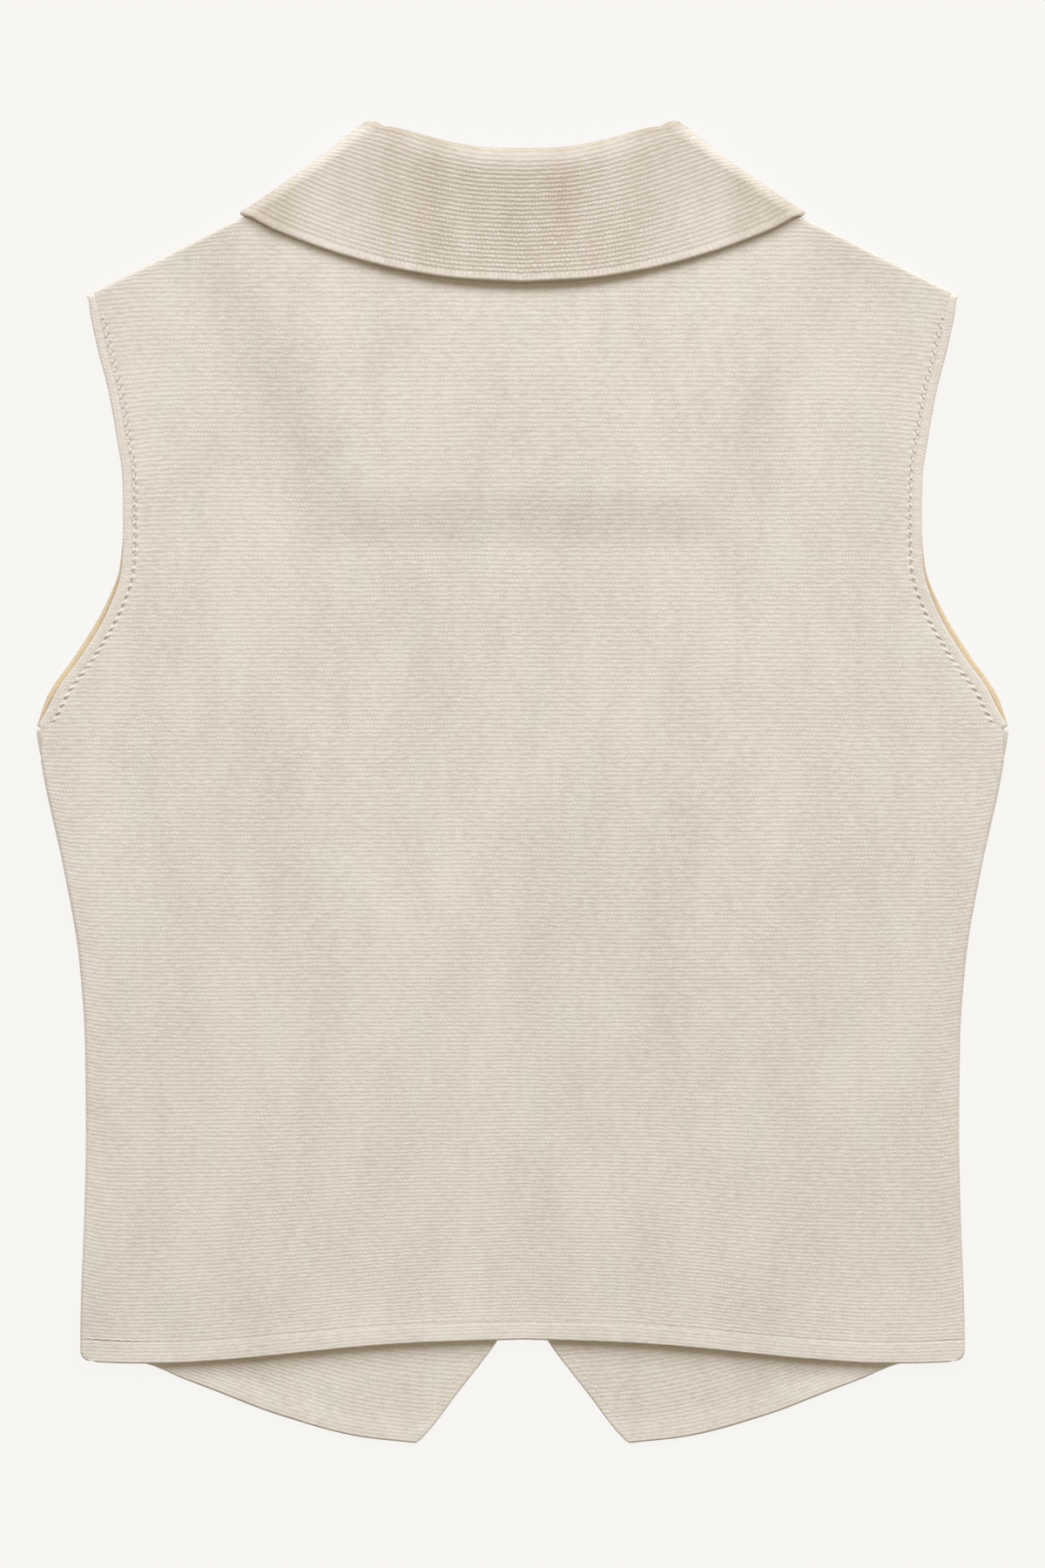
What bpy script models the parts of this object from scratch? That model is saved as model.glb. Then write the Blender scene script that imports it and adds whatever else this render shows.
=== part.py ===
"""Sleeveless knitted zip-up vest, laid flat on its front, so its back faces up.

X runs across the garment, Y from the hem to the neck, and Z up from the
surface that it lies on. The wearer's left is at -X. Sizes are in millimetres,
and each mesh is made in metres. The fronts lie below the back, and the
collar's fall goes round both shoulders to its two points under the fronts.
"""

import math

import bmesh
import bpy
from mathutils import Vector

NAME = "zip_up_vest"
MM = 0.001

# Cloth and the way that it lies.
BODY_WALL = 1.8
COLLAR_WALL = 2.0
BINDING_WALL = 2.2
BINDING_WIDTH = 5.0
BINDING_FOOT = 10.0
BINDING_TAPER = 20.0
BINDING_CLEARANCE = 1.3
BINDING_LEVEL_FROM = 32.0
BINDING_SHOULDER_SPREAD = 4.4
SEAM_GAP = 0.3
COLLAR_SEAM_GAP = 0.45
FOLD_RADIUS = 2.8
SEAM_RUN = 0.7
EDGE_TOLERANCE = 0.006
LAYER_SPACE = 1.25
COLLAR_LIFT = 2.4
SETTLE_LENGTH = 12.0
SLOPE_STEP = 0.5

# Beside and below the collar's leaves the fronts come down to the surface. The
# leaves' outer sides run through LEAF_SIDE, and LEAF_OUT points away from them.
LEAF_SIDE = (132.0, 252.0)
LEAF_OUT = (0.885, -0.466)
LEAF_FOOT = 132.0
LEAF_FADE = 30.0

# Shallow waves of the back, as it lies loosely on the fronts.
SWELLS = (
    # across, height, half width, half length, rise
    (78.0, -60.0, 40.0, 150.0, 0.9),
    (60.0, 165.0, 50.0, 40.0, 0.5),
)

# Half width of the garment at each height, down the side and the armhole.
SIDE = (
    # height, half width
    (-253.8, 194.2), (-249.0, 194.9), (-230.0, 194.7), (-191.6, 193.2), (-153.0, 192.4),
    (-114.8, 192.8), (-76.4, 195.5), (-38.0, 202.0), (0.4, 210.4), (24.2, 214.5),
)
ARMHOLE = (
    # height, half width
    (24.2, 214.5), (38.8, 209.6), (58.0, 196.6), (77.2, 185.0), (96.4, 177.5),
    (115.6, 176.0), (134.8, 176.3), (154.0, 179.0), (173.2, 182.4), (192.4, 187.3),
    (215.8, 192.3),
)
# The back's armhole edge lies a little inside the front's.
BACK_SET_IN = (
    # height, amount
    (24.2, 0.0), (38.8, 3.0), (58.0, 3.1), (77.2, 2.5), (96.4, 0.9), (115.6, 0.0),
    (215.8, 0.0),
)
UNDERARM = (214.5, 24.2)
SHOULDER_TIP = (192.3, 215.8)
NECK_POINT = (71.5, 275.7)

# Necklines, from the middle of the garment to the neck point.
BACK_NECK = (
    # across, height
    (0.0, 250.0), (25.0, 250.2), (42.0, 252.5), (55.0, 258.5), (64.0, 266.5), (71.5, 275.7),
)
FRONT_NECK = (
    # across, height
    (4.0, 201.3), (8.0, 202.0), (15.6, 205.8), (26.4, 215.0), (38.5, 228.8), (51.0, 244.0),
    (62.0, 261.6), (71.5, 275.7),
)

# Hems, from the middle or the opening edge (0) to the side seam (1).
BACK_HEM = (
    # share of the width, height
    (0.0, -244.2), (0.12, -245.0), (0.25, -246.0), (0.4, -248.2), (0.5, -250.2),
    (0.6, -252.2), (0.7, -253.8), (0.8, -254.8), (0.88, -254.8), (1.0, -253.8),
)
FRONT_HEM = (
    # share of the width, height
    (0.0, -290.0), (0.16, -287.4), (0.41, -277.6), (0.59, -267.5), (0.7, -261.2),
    (0.78, -255.9), (0.84, -254.0), (1.0, -253.8),
)
# The opening edge: straight along the zip, then spreading to the front's point.
OPENING_EDGE = (
    # height, distance from the middle
    (-290.0, 46.0), (-268.0, 28.6), (-245.0, 11.3), (-234.0, 5.4), (-228.0, 4.0),
    (-200.0, 4.0), (210.0, 4.0),
)

# The panels' columns, as distances from the middle at the shoulder, and the
# heights of their rows' outer ends.
BACK_COLUMNS = (
    0.0, 18.0, 34.0, 45.0, 54.0, 61.0, 66.5, 71.5, 84.0, 104.0, 128.0, 150.0, 166.0,
    176.0, 181.5, 183.9, 185.3, 186.2, 186.68, 186.7,
)
FRONT_COLUMNS = (
    4.0, 10.0, 18.0, 28.0, 40.0, 52.0, 63.0, 71.5, 84.0, 104.0, 128.0, 150.0, 166.0,
    176.0, 181.5, 183.9, 185.3, 186.2, 186.68, 186.7,
)
ROW_ENDS = (
    -253.8, -252.4, -249.0, -240.0, -222.0, -200.0, -176.0, -150.0, -124.0, -98.0,
    -74.0, -52.0, -32.0, -14.0, 2.0, 10.0, 14.0, 18.0, 22.0, 26.0, 31.0, 38.0, 48.0,
    60.0, 74.0, 90.0, 108.0, 128.0, 148.0, 166.0, 182.0, 195.0,
)
TOP_ROW_DROPS = (12.0, 7.0, 4.2, 2.5, 1.2, 0.4, 0.01, 0.0)
# Rows bend to the top edge above one height, and to the hem below another.
TOP_BEND_END = 3.0
BACK_TOP_BEND = 120.0
BACK_HEM_BEND = -120.0
FRONT_TOP_BEND = 60.0
FRONT_HEM_BEND = -110.0

# The collar's sections, from the middle of the back round to the centre front.
# Fold and edge are places on the line about which the section turns, and the
# turn takes it from the back, 0, round the shoulder to the front, 180 degrees.
COLLAR = (
    # fold x, fold y, edge x, edge y, seam x, tuck, turn
    (0.0, 280.0, 0.0, 221.0, 0.0, 0.0, 0),
    (14.0, 280.3, 28.0, 222.5, 16.0, 0.0, 0),
    (28.0, 282.0, 54.0, 226.5, 32.0, 0.3, 0),
    (41.0, 284.3, 78.0, 232.6, 46.0, 1.2, 0),
    (51.5, 286.0, 99.0, 239.8, 57.5, 2.4, 0),
    (58.0, 286.5, 112.0, 245.2, 65.5, 3.5, 0),
    (60.8, 286.4, 119.4, 249.3, 71.5, 4.2, 0),
    (60.8, 286.4, 119.4, 249.3, 71.5, 4.0, 30),
    (60.8, 286.4, 119.4, 249.3, 71.5, 3.6, 60),
    (60.8, 286.4, 119.4, 249.3, 71.5, 3.4, 90),
    (60.8, 286.4, 119.4, 249.3, 71.5, 3.6, 120),
    (60.8, 286.4, 119.4, 249.3, 71.5, 4.0, 150),
    (60.8, 286.4, 119.4, 249.3, 71.5, 4.2, 180),
    (54.0, 270.0, 110.0, 229.0, 63.0, 2.0, 180),
    (44.0, 252.0, 99.0, 207.0, 52.0, 0.5, 180),
    (33.0, 236.0, 87.0, 183.0, 39.5, 0.0, 180),
    (22.0, 222.0, 77.0, 162.0, 27.0, 0.0, 180),
    (12.5, 211.5, 69.0, 147.0, 16.5, 0.0, 180),
    (6.0, 206.0, 64.0, 139.5, 9.0, 0.0, 180),
)
COLLAR_TURN_RADIUS = 6.4
STAND_MIDDLE = 5.6
STAND_SPLIT = 0.18
TURN_START = 6
FALL_BEND = 0.7
FALL_STEPS = (0.16, 0.34, 0.52, 0.7, 0.86, 0.96, 1.0)
ROLL_ANGLES = (-90, -60, -30, 0, 30, 60, 90)

# The zip: its tapes lie on the fronts' inner faces and its slider faces down.
TAPE_TOP = 199.4
TAPE_FOOT = -226.3
TAPE_INNER = 2.5
TAPE_OUTER = 15.0
TAPE_WALL = 0.6
TAPE_NARROWS_FROM = 0.7
TAPE_NARROWS_TO = 0.3
CHAIN_HALF_WIDTH = 2.2
CHAIN_WALL = 2.0
CHAIN_BASE = 0.7
ZIP_HEIGHTS = (
    -150.0, -75.0, 0.0, 60.0, 95.0, 104.0, 111.0, 118.0, 125.0, 133.0, 150.0,
)
SLIDER_SIZE = (7.2, 9.5, 2.5)
SLIDER_CENTRE = (0.0, 191.25, 3.85)
BRIDGE_SIZE = (2.0, 6.1, 2.9)
BRIDGE_CENTRE = (0.0, 191.25, 1.65)
BRIDGE_EYE_SIZE = (4.0, 4.1, 1.6)
BRIDGE_EYE_CENTRE = (0.0, 191.25, 1.8)
HINGE = (0.0, 191.25, 1.75)
PULL_SIZE = (5.5, 24.0, 0.9)
PULL_EYE_SIZE = (2.8, 3.3, 3.0)
PULL_BAR = 0.45
STOP_SIZE = (3.2, 2.6, 2.0)
STOP_CENTRE = (1.95, 197.65, 4.0)
BOX_SIZE = (7.0, 6.2, 2.5)
BOX_CENTRE = (0.0, -229.75, 1.45)
METAL_BEVEL = 0.2

YARN = (0.72, 0.66, 0.56, 1.0)
BINDING_YARN = (0.74, 0.68, 0.58, 1.0)
TAPE_CLOTH = (0.66, 0.6, 0.5, 1.0)
METAL = (0.62, 0.58, 0.5, 1.0)


def clear_scene():
    """Remove what the scene holds, and give back the part's collection."""
    for old in list(bpy.data.objects):
        bpy.data.objects.remove(old, do_unlink=True)
    parts = bpy.data.collections.new(NAME)
    bpy.context.scene.collection.children.link(parts)
    cutters = bpy.data.collections.new(NAME + "_cutters")
    bpy.context.scene.collection.children.link(cutters)
    return parts, cutters


def finish_material(name, colour, roughness, metallic=0.0):
    """Make a material with one Principled BSDF."""
    material = bpy.data.materials.new(name)
    material.use_nodes = True
    shader = material.node_tree.nodes["Principled BSDF"]
    shader.inputs["Base Color"].default_value = colour
    shader.inputs["Roughness"].default_value = roughness
    shader.inputs["Metallic"].default_value = metallic
    return material


def smooth_step(share):
    """Ease from 0 to 1."""
    share = min(max(share, 0.0), 1.0)
    return share * share * (3.0 - 2.0 * share)


def curve_through(table):
    """Give a smooth function through (place, value) rows, straight past its ends."""
    places = [row[0] for row in table]
    values = [row[1] for row in table]
    runs = [b - a for a, b in zip(places, places[1:])]
    grades = [(b - a) / run for a, b, run in zip(values, values[1:], runs)]
    slopes = [grades[0]]
    for before, after in zip(grades, grades[1:]):
        same_way = before * after > 0.0
        slopes.append(2.0 * before * after / (before + after) if same_way else 0.0)
    slopes.append(grades[-1])

    def value_at(place):
        if place <= places[0]:
            return values[0] + slopes[0] * (place - places[0])
        if place >= places[-1]:
            return values[-1] + slopes[-1] * (place - places[-1])
        k = max(i for i, start in enumerate(places) if start <= place)
        t = (place - places[k]) / runs[k]
        rise = values[k + 1] - values[k]
        bend_in = slopes[k] * runs[k] - rise
        bend_out = slopes[k + 1] * runs[k] - rise
        return values[k] + t * rise + t * (1.0 - t) * ((1.0 - t) * bend_in - t * bend_out)

    return value_at


side_width = curve_through(SIDE)
armhole_width = curve_through(ARMHOLE)
back_set_in = curve_through(BACK_SET_IN)
back_neck = curve_through(BACK_NECK)
front_neck = curve_through(FRONT_NECK)
back_hem = curve_through(BACK_HEM)
front_hem = curve_through(FRONT_HEM)
opening_edge = curve_through(OPENING_EDGE)

shoulder_way = (Vector(SHOULDER_TIP) - Vector(NECK_POINT)).normalized()
shoulder_out = Vector((-shoulder_way.y, shoulder_way.x))


def shoulder_height(x):
    """Height of the shoulder line."""
    return NECK_POINT[1] + (x - NECK_POINT[0]) * shoulder_way.y / shoulder_way.x


def armhole_edge(height, is_back):
    """Half width of one layer at the armhole."""
    set_in = back_set_in(height) if is_back else 0.0
    return armhole_width(height) - set_in


def edge_normal(height, is_back):
    """Way into the cloth from the armhole edge."""
    above = armhole_edge(height + SLOPE_STEP, is_back)
    below = armhole_edge(height - SLOPE_STEP, is_back)
    return Vector((-1.0, (above - below) / (2.0 * SLOPE_STEP))).normalized()


def binding_span(height, is_back):
    """The binding's width, measured level across the garment."""
    return BINDING_WIDTH / -edge_normal(max(height, BINDING_LEVEL_FROM), is_back).x


def panel_end(height, is_back):
    """Half width of a panel: the side seam, and inside the binding above it."""
    if height <= BINDING_FOOT:
        return side_width(height)
    outline = armhole_edge(height, is_back) if height > UNDERARM[1] else side_width(height)
    full = binding_span(height, is_back) + SEAM_GAP
    return outline - full * min((height - BINDING_FOOT) / BINDING_TAPER, 1.0)


def lift(x, y):
    """Height of the front's outer face: it rides up over the collar's leaves."""
    past_leaf = (x - LEAF_SIDE[0]) * LEAF_OUT[0] + (y - LEAF_SIDE[1]) * LEAF_OUT[1]
    below_leaf = LEAF_FOOT - y
    clear = max(past_leaf, below_leaf, 0.0)
    return COLLAR_LIFT * smooth_step(1.0 - clear / LEAF_FADE)


def fold_distance(x, y):
    """Distance from the nearest folded edge, the shoulder or the side seam."""
    along = (Vector((x, y)) - Vector(NECK_POINT)).dot(shoulder_way)
    along = min(max(along, 0.0), (Vector(SHOULDER_TIP) - Vector(NECK_POINT)).length)
    foot = Vector(NECK_POINT) + shoulder_way * along
    shoulder = (Vector((x, y)) - foot).length
    if y <= UNDERARM[1]:
        side = max(side_width(y) - x, 0.0)
    else:
        side = math.hypot(UNDERARM[0] - x, y - UNDERARM[1])
    return min(shoulder, side)


def roll_height(distance):
    """Height of a folded edge's outer face above the seam."""
    if distance < EDGE_TOLERANCE:
        return SEAM_GAP / 2.0
    inside = min(distance, FOLD_RADIUS)
    arc = math.sqrt(FOLD_RADIUS ** 2 - (FOLD_RADIUS - inside) ** 2)
    return SEAM_RUN + arc * (1.0 - SEAM_RUN / FOLD_RADIUS)


def swell(x, y):
    """Soft unevenness of the back, in shallow waves beside the middle."""
    rise = 0.0
    for across, height, width, length, amount in SWELLS:
        rise += amount * math.exp(-((x - across) / width) ** 2 - ((y - height) / length) ** 2)
    return rise


def back_top(x, y):
    """Height of the back's outer face."""
    distance = fold_distance(x, y)
    past = max(distance - FOLD_RADIUS, 0.0)
    settled = 1.0 - math.exp(-past / SETTLE_LENGTH)
    drop = 2.0 * FOLD_RADIUS - (2.0 * BODY_WALL + LAYER_SPACE)
    seam = lift(x, y) + FOLD_RADIUS
    return seam + roll_height(distance) - (drop - swell(x, y)) * settled


def front_base(x, y):
    """Height of the front's outer face, which faces the surface."""
    return lift(x, y) + FOLD_RADIUS - roll_height(fold_distance(x, y))


def find_top_end():
    """Height at which a panel's armhole edge meets the shoulder line."""
    end = SHOULDER_TIP[1]
    for _ in range(12):
        end = shoulder_height(panel_end(end, True))
    return end


TOP_END = find_top_end()
ALL_ROW_ENDS = ROW_ENDS + tuple(TOP_END - drop for drop in TOP_ROW_DROPS)


def top_rise(x, outer, neck):
    """How far the panel's top edge at x lies above its end at the armhole."""
    top = neck(x) if x < NECK_POINT[0] else shoulder_height(x)
    return top - shoulder_height(outer)


def back_point(share, end):
    """A point of the back's outer face, from its column and its row's end."""
    outer = panel_end(end, True)
    x = share * outer
    near_top = smooth_step((end - BACK_TOP_BEND) / (TOP_END - TOP_BEND_END - BACK_TOP_BEND))
    near_hem = smooth_step((BACK_HEM_BEND - end) / (BACK_HEM_BEND - ROW_ENDS[0]))
    y = end + near_top * top_rise(x, outer, back_neck)
    y += near_hem * (back_hem(share) - back_hem(1.0))
    return Vector((x, y, back_top(x, y)))


def front_point(share, end):
    """A point of a front's outer face, from its column and its row's end."""
    outer = panel_end(end, False)
    near_top = smooth_step((end - FRONT_TOP_BEND) / (TOP_END - TOP_BEND_END - FRONT_TOP_BEND))
    near_hem = smooth_step((FRONT_HEM_BEND - end) / (FRONT_HEM_BEND - ROW_ENDS[0]))
    hem_drop = near_hem * (front_hem(share) - front_hem(1.0))
    start = opening_edge(end + hem_drop)
    x = start + share * (outer - start)
    y = end + near_top * top_rise(x, outer, front_neck) + hem_drop
    return Vector((x, y, front_base(x, y)))


def add_surface(name, rows, flipped, material, collection):
    """Make an open sheet from rows of points, given in millimetres."""
    mesh = bpy.data.meshes.new(name)
    sheet = bmesh.new()
    grid = [[sheet.verts.new(point * MM) for point in row] for row in rows]
    for lower, upper in zip(grid, grid[1:]):
        for k in range(len(lower) - 1):
            corners = [lower[k], lower[k + 1], upper[k + 1], upper[k]]
            sheet.faces.new(reversed(corners) if flipped else corners)
    sheet.to_mesh(mesh)
    sheet.free()
    mesh.shade_smooth()
    mesh.materials.append(material)
    piece = bpy.data.objects.new(name, mesh)
    collection.objects.link(piece)
    return piece


def add_wall(piece, thickness):
    """Thicken a sheet inward from its outer face."""
    wall = piece.modifiers.new("wall", "SOLIDIFY")
    wall.thickness = thickness * MM
    wall.offset = -1.0
    wall.use_quality_normals = True


def add_mirror(piece):
    """Join a half to its mirror image at the middle."""
    mirror = piece.modifiers.new("mirror", "MIRROR")
    mirror.use_axis = (True, False, False)
    mirror.use_clip = True
    mirror.use_mirror_merge = True
    mirror.merge_threshold = 0.0001


def make_back(material, collection):
    """The back: one panel, mirrored at its middle."""
    shares = [column / BACK_COLUMNS[-1] for column in BACK_COLUMNS]
    rows = [[back_point(share, end) for share in shares] for end in ALL_ROW_ENDS]
    back = add_surface("back", rows, False, material, collection)
    add_mirror(back)
    add_wall(back, BODY_WALL)


def make_front(side, material, collection):
    """One front, from its opening edge to its side seam and armhole."""
    first = FRONT_COLUMNS[0]
    shares = [(column - first) / (FRONT_COLUMNS[-1] - first) for column in FRONT_COLUMNS]
    rows = [[front_point(share, end) for share in shares] for end in ALL_ROW_ENDS]
    sign = -1.0 if side == "left" else 1.0
    for row in rows:
        for point in row:
            point.x *= sign
    front = add_surface("front_" + side, rows, side == "right", material, collection)
    add_wall(front, BODY_WALL)


def seam_point(neck, x, turn):
    """Where the collar's inner face starts, just clear of a neckline."""
    grade = (neck(x + SLOPE_STEP) - neck(x - SLOPE_STEP)) / (2.0 * SLOPE_STEP)
    off = Vector((-grade, 1.0)).normalized() * COLLAR_SEAM_GAP
    seam = Vector((x, neck(x))) + off
    angle = math.radians(turn)
    roll = FOLD_RADIUS - BODY_WALL
    if 0 < turn < 180:
        centre = seam - shoulder_out * FOLD_RADIUS
        flat = centre + shoulder_out * roll * math.sin(angle)
    else:
        flat = seam - shoulder_out * FOLD_RADIUS if x == NECK_POINT[0] else seam
    if x == NECK_POINT[0]:
        height = COLLAR_LIFT + FOLD_RADIUS + roll * math.cos(angle)
    elif turn == 0:
        height = back_top(x, neck(x)) - BODY_WALL
    else:
        height = front_base(x, neck(x)) + BODY_WALL
    return Vector((flat.x, flat.y, height))


def collar_section(fold_x, fold_y, edge_x, edge_y, seam_x, tuck, turn):
    """One section of the collar: up the stand, over the fold and down the fall."""
    fold = Vector((fold_x, fold_y, 0.0))
    edge = Vector((edge_x, edge_y, 0.0))
    down = (edge - fold).normalized()
    length = (edge - fold).length
    angle = math.radians(turn)
    outward = Vector((-down.y, down.x, 0.0))
    out = outward * math.sin(angle) + Vector((0.0, 0.0, math.cos(angle)))
    carrier = (edge_x, edge_y) if turn == 0 else COLLAR[TURN_START][2:4]
    edge_radius = (back_top(*carrier) + SEAM_GAP + COLLAR_WALL) / 2.0
    stand_level = STAND_MIDDLE + STAND_SPLIT * math.cos(angle)
    stand_top = fold - outward * tuck + Vector((0.0, 0.0, stand_level))
    fall_top = fold + Vector((0.0, 0.0, COLLAR_TURN_RADIUS)) + out * COLLAR_TURN_RADIUS
    roll = (fall_top - stand_top).length / 2.0
    middle = (fall_top + stand_top) / 2.0
    points = []
    for step in ROLL_ANGLES:
        bend = math.radians(step)
        off = (fall_top - stand_top) / 2.0 * math.sin(bend)
        points.append(middle + off + down * roll * (1.0 - math.cos(bend)))
    seam = seam_point(back_neck if turn <= 90 else front_neck, seam_x, turn)
    stand = [seam, seam.lerp(points[0], 0.5)]
    for share in FALL_STEPS:
        radius = COLLAR_TURN_RADIUS + (edge_radius - COLLAR_TURN_RADIUS) * share ** FALL_BEND
        along = roll + (length - roll) * share
        points.append(fold + Vector((0.0, 0.0, radius)) + down * along + out * radius)
    return stand + points


def make_collar(material, collection):
    """The collar: one folded strip from point to point, mirrored at the back."""
    rows = [collar_section(*section) for section in COLLAR]
    collar = add_surface("collar", rows, False, material, collection)
    add_mirror(collar)
    add_wall(collar, COLLAR_WALL)


def binding_frame(height, is_back):
    """Outer and inner middle points of the binding's section, and its way up."""
    outer = armhole_edge(height, is_back)
    inner = max(outer - binding_span(height, is_back), panel_end(height, is_back) + SEAM_GAP)
    frame = []
    for x in (outer, inner):
        if is_back:
            level = back_top(x, height) - BINDING_WALL / 2.0
        else:
            level = lift(x, height) + BINDING_WALL / 2.0
        frame.append(Vector((x, height, level)))
    return frame[0], frame[1], Vector((0.0, 0.0, 1.0))


def binding_turn(corner, along, out, spread, angle):
    """The binding's section where it goes over a folded edge."""
    middle = FOLD_RADIUS - BINDING_WALL / 2.0
    bend = math.radians(angle)
    up = Vector((out.x * math.sin(bend), out.y * math.sin(bend), math.cos(bend)))
    start = Vector(corner) - out * FOLD_RADIUS
    foot = start + along * spread
    ends = []
    for place in (start, foot):
        axis = Vector((place.x, place.y, lift(place.x, place.y) + FOLD_RADIUS))
        ends.append(axis + up * middle)
    return ends[0], ends[1], up


def make_binding(side, material, collection):
    """One armhole binding: a flat knitted ring, folded at shoulder and underarm."""
    heights = [end for end in ROW_ENDS if end > UNDERARM[1]]
    turns = (0, 30, 60, 90, 120, 150, 180)
    down_side = Vector((side_width(10.0), 10.0)) - Vector(UNDERARM)
    down_side.normalize()
    side_out = Vector((-down_side.y, down_side.x))
    frames = [binding_frame(height, True) for height in heights]
    for turn in turns:
        spread = BINDING_SHOULDER_SPREAD
        frames.append(binding_turn(SHOULDER_TIP, -shoulder_way, shoulder_out, spread, turn))
    frames += [binding_frame(height, False) for height in reversed(heights)]
    for turn in reversed(turns):
        share = 1.0 - math.sin(math.radians(turn))
        foot = BINDING_FOOT + BINDING_CLEARANCE
        foot += BINDING_TAPER * FOLD_RADIUS * share / (binding_span(0.0, False) + SEAM_GAP)
        spread = UNDERARM[1] - foot
        frames.append(binding_turn(UNDERARM, down_side, side_out, spread, turn))
    mesh = bpy.data.meshes.new("armhole_binding_" + side)
    ring = bmesh.new()
    sign = -1.0 if side == "left" else 1.0
    sections = []
    for number, (outer, inner, up) in enumerate(frames):
        half = up * BINDING_WALL / 2.0
        face_up = number < len(heights) + len(turns) or number >= 2 * len(heights) + len(turns)
        if not face_up:
            half = -half
        sections.append((outer + half, inner + half, inner - half, outer - half))
    rings = []
    for section in sections:
        rings.append([ring.verts.new(Vector((p.x * sign, p.y, p.z)) * MM) for p in section])
    for k in range(len(rings)):
        here, there = rings[k], rings[(k + 1) % len(rings)]
        for j in range(4):
            ring.faces.new((here[j], here[(j + 1) % 4], there[(j + 1) % 4], there[j]))
    bmesh.ops.recalc_face_normals(ring, faces=ring.faces)
    ring.to_mesh(mesh)
    ring.free()
    mesh.shade_smooth()
    mesh.materials.append(material)
    piece = bpy.data.objects.new("armhole_binding_" + side, mesh)
    collection.objects.link(piece)


def make_strip(name, heights, edges, base, wall, material, collection):
    """A flat strip of the zip, which follows the fronts up over the collar."""
    rows = []
    for height in heights:
        level = lift(0.0, height) + base
        rows.append([Vector((x, height, level)) for x in edges(height)])
    strip = add_surface(name, rows, rows[0][1].x > rows[0][0].x, material, collection)
    add_wall(strip, wall)


def make_tape(side, material, collection):
    """One zip tape: it is narrower beside the slider."""
    sign = -1.0 if side == "left" else 1.0
    slider_foot = SLIDER_CENTRE[1] - SLIDER_SIZE[1] / 2.0
    slider_side = SLIDER_SIZE[0] / 2.0 + SEAM_GAP
    wide_to, narrow_from = slider_foot - TAPE_NARROWS_FROM, slider_foot - TAPE_NARROWS_TO
    heights = (TAPE_FOOT,) + ZIP_HEIGHTS + (wide_to, narrow_from, TAPE_TOP)

    def edges(height):
        inner = TAPE_INNER if height <= wide_to else slider_side
        return sign * inner, sign * TAPE_OUTER

    base = BODY_WALL + SEAM_GAP
    make_strip("zip_tape_" + side, heights, edges, base, TAPE_WALL, material, collection)


def make_chain(material, collection):
    """The closed row of teeth, as one strip between the tapes."""
    slider_foot = SLIDER_CENTRE[1] - SLIDER_SIZE[1] / 2.0
    heights = (TAPE_FOOT,) + ZIP_HEIGHTS + (slider_foot - SEAM_GAP,)

    def edges(_height):
        return -CHAIN_HALF_WIDTH, CHAIN_HALF_WIDTH

    make_strip("zip_chain", heights, edges, CHAIN_BASE, CHAIN_WALL, material, collection)


def add_block(name, size, centre, material, collection, shift=(0.0, 0.0, 0.0)):
    """A rectangular block whose origin lies at centre, and its middle at the shift."""
    mesh = bpy.data.meshes.new(name)
    block = bmesh.new()
    bmesh.ops.create_cube(block, size=1.0)
    bmesh.ops.scale(block, vec=Vector(size) * MM, verts=block.verts)
    bmesh.ops.translate(block, vec=Vector(shift) * MM, verts=block.verts)
    block.to_mesh(mesh)
    block.free()
    mesh.materials.append(material)
    piece = bpy.data.objects.new(name, mesh)
    piece.location = Vector(centre) * MM
    collection.objects.link(piece)
    return piece


def combine(piece, tool, operation):
    """Join a tool to a piece, or cut it away, and leave the tool as a guide."""
    tool.hide_render = True
    tool.display_type = "WIRE"
    change = piece.modifiers.new(tool.name, "BOOLEAN")
    change.operation = operation
    change.solver = "EXACT"
    change.object = tool


def round_edges(piece):
    """Take the sharp edges off a metal piece."""
    bevel = piece.modifiers.new("rounded", "BEVEL")
    bevel.width = METAL_BEVEL * MM
    bevel.segments = 1


def make_slider(material, parts, cutters):
    """The slider's body, and the bridge under it that holds the pull tab."""
    slider = add_block("zip_slider", SLIDER_SIZE, SLIDER_CENTRE, material, parts)
    round_edges(slider)
    bridge = add_block("bridge", BRIDGE_SIZE, BRIDGE_CENTRE, material, cutters)
    combine(slider, bridge, "UNION")
    eye = add_block("bridge_eye", BRIDGE_EYE_SIZE, BRIDGE_EYE_CENTRE, material, cutters)
    combine(slider, eye, "DIFFERENCE")


def make_pull_tab(material, parts, cutters):
    """The pull tab, whose origin lies on its bar's axis in the slider's bridge."""
    reach = PULL_BAR - PULL_SIZE[1] / 2.0
    pull = add_block("zip_pull_tab", PULL_SIZE, HINGE, material, parts, (0.0, reach, 0.0))
    round_edges(pull)
    eye_reach = -PULL_BAR - PULL_EYE_SIZE[1] / 2.0
    eye = add_block("pull_eye", PULL_EYE_SIZE, HINGE, material, cutters, (0.0, eye_reach, 0.0))
    combine(pull, eye, "DIFFERENCE")


def make_zip(cloth, metal, parts, cutters):
    """The closed zip along the middle of the fronts."""
    make_chain(metal, parts)
    make_slider(metal, parts, cutters)
    make_pull_tab(metal, parts, cutters)
    for side, sign in (("left", -1.0), ("right", 1.0)):
        make_tape(side, cloth, parts)
        centre = (sign * STOP_CENTRE[0], STOP_CENTRE[1], STOP_CENTRE[2])
        round_edges(add_block("zip_stop_" + side, STOP_SIZE, centre, metal, parts))
    round_edges(add_block("zip_box", BOX_SIZE, BOX_CENTRE, metal, parts))


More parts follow.
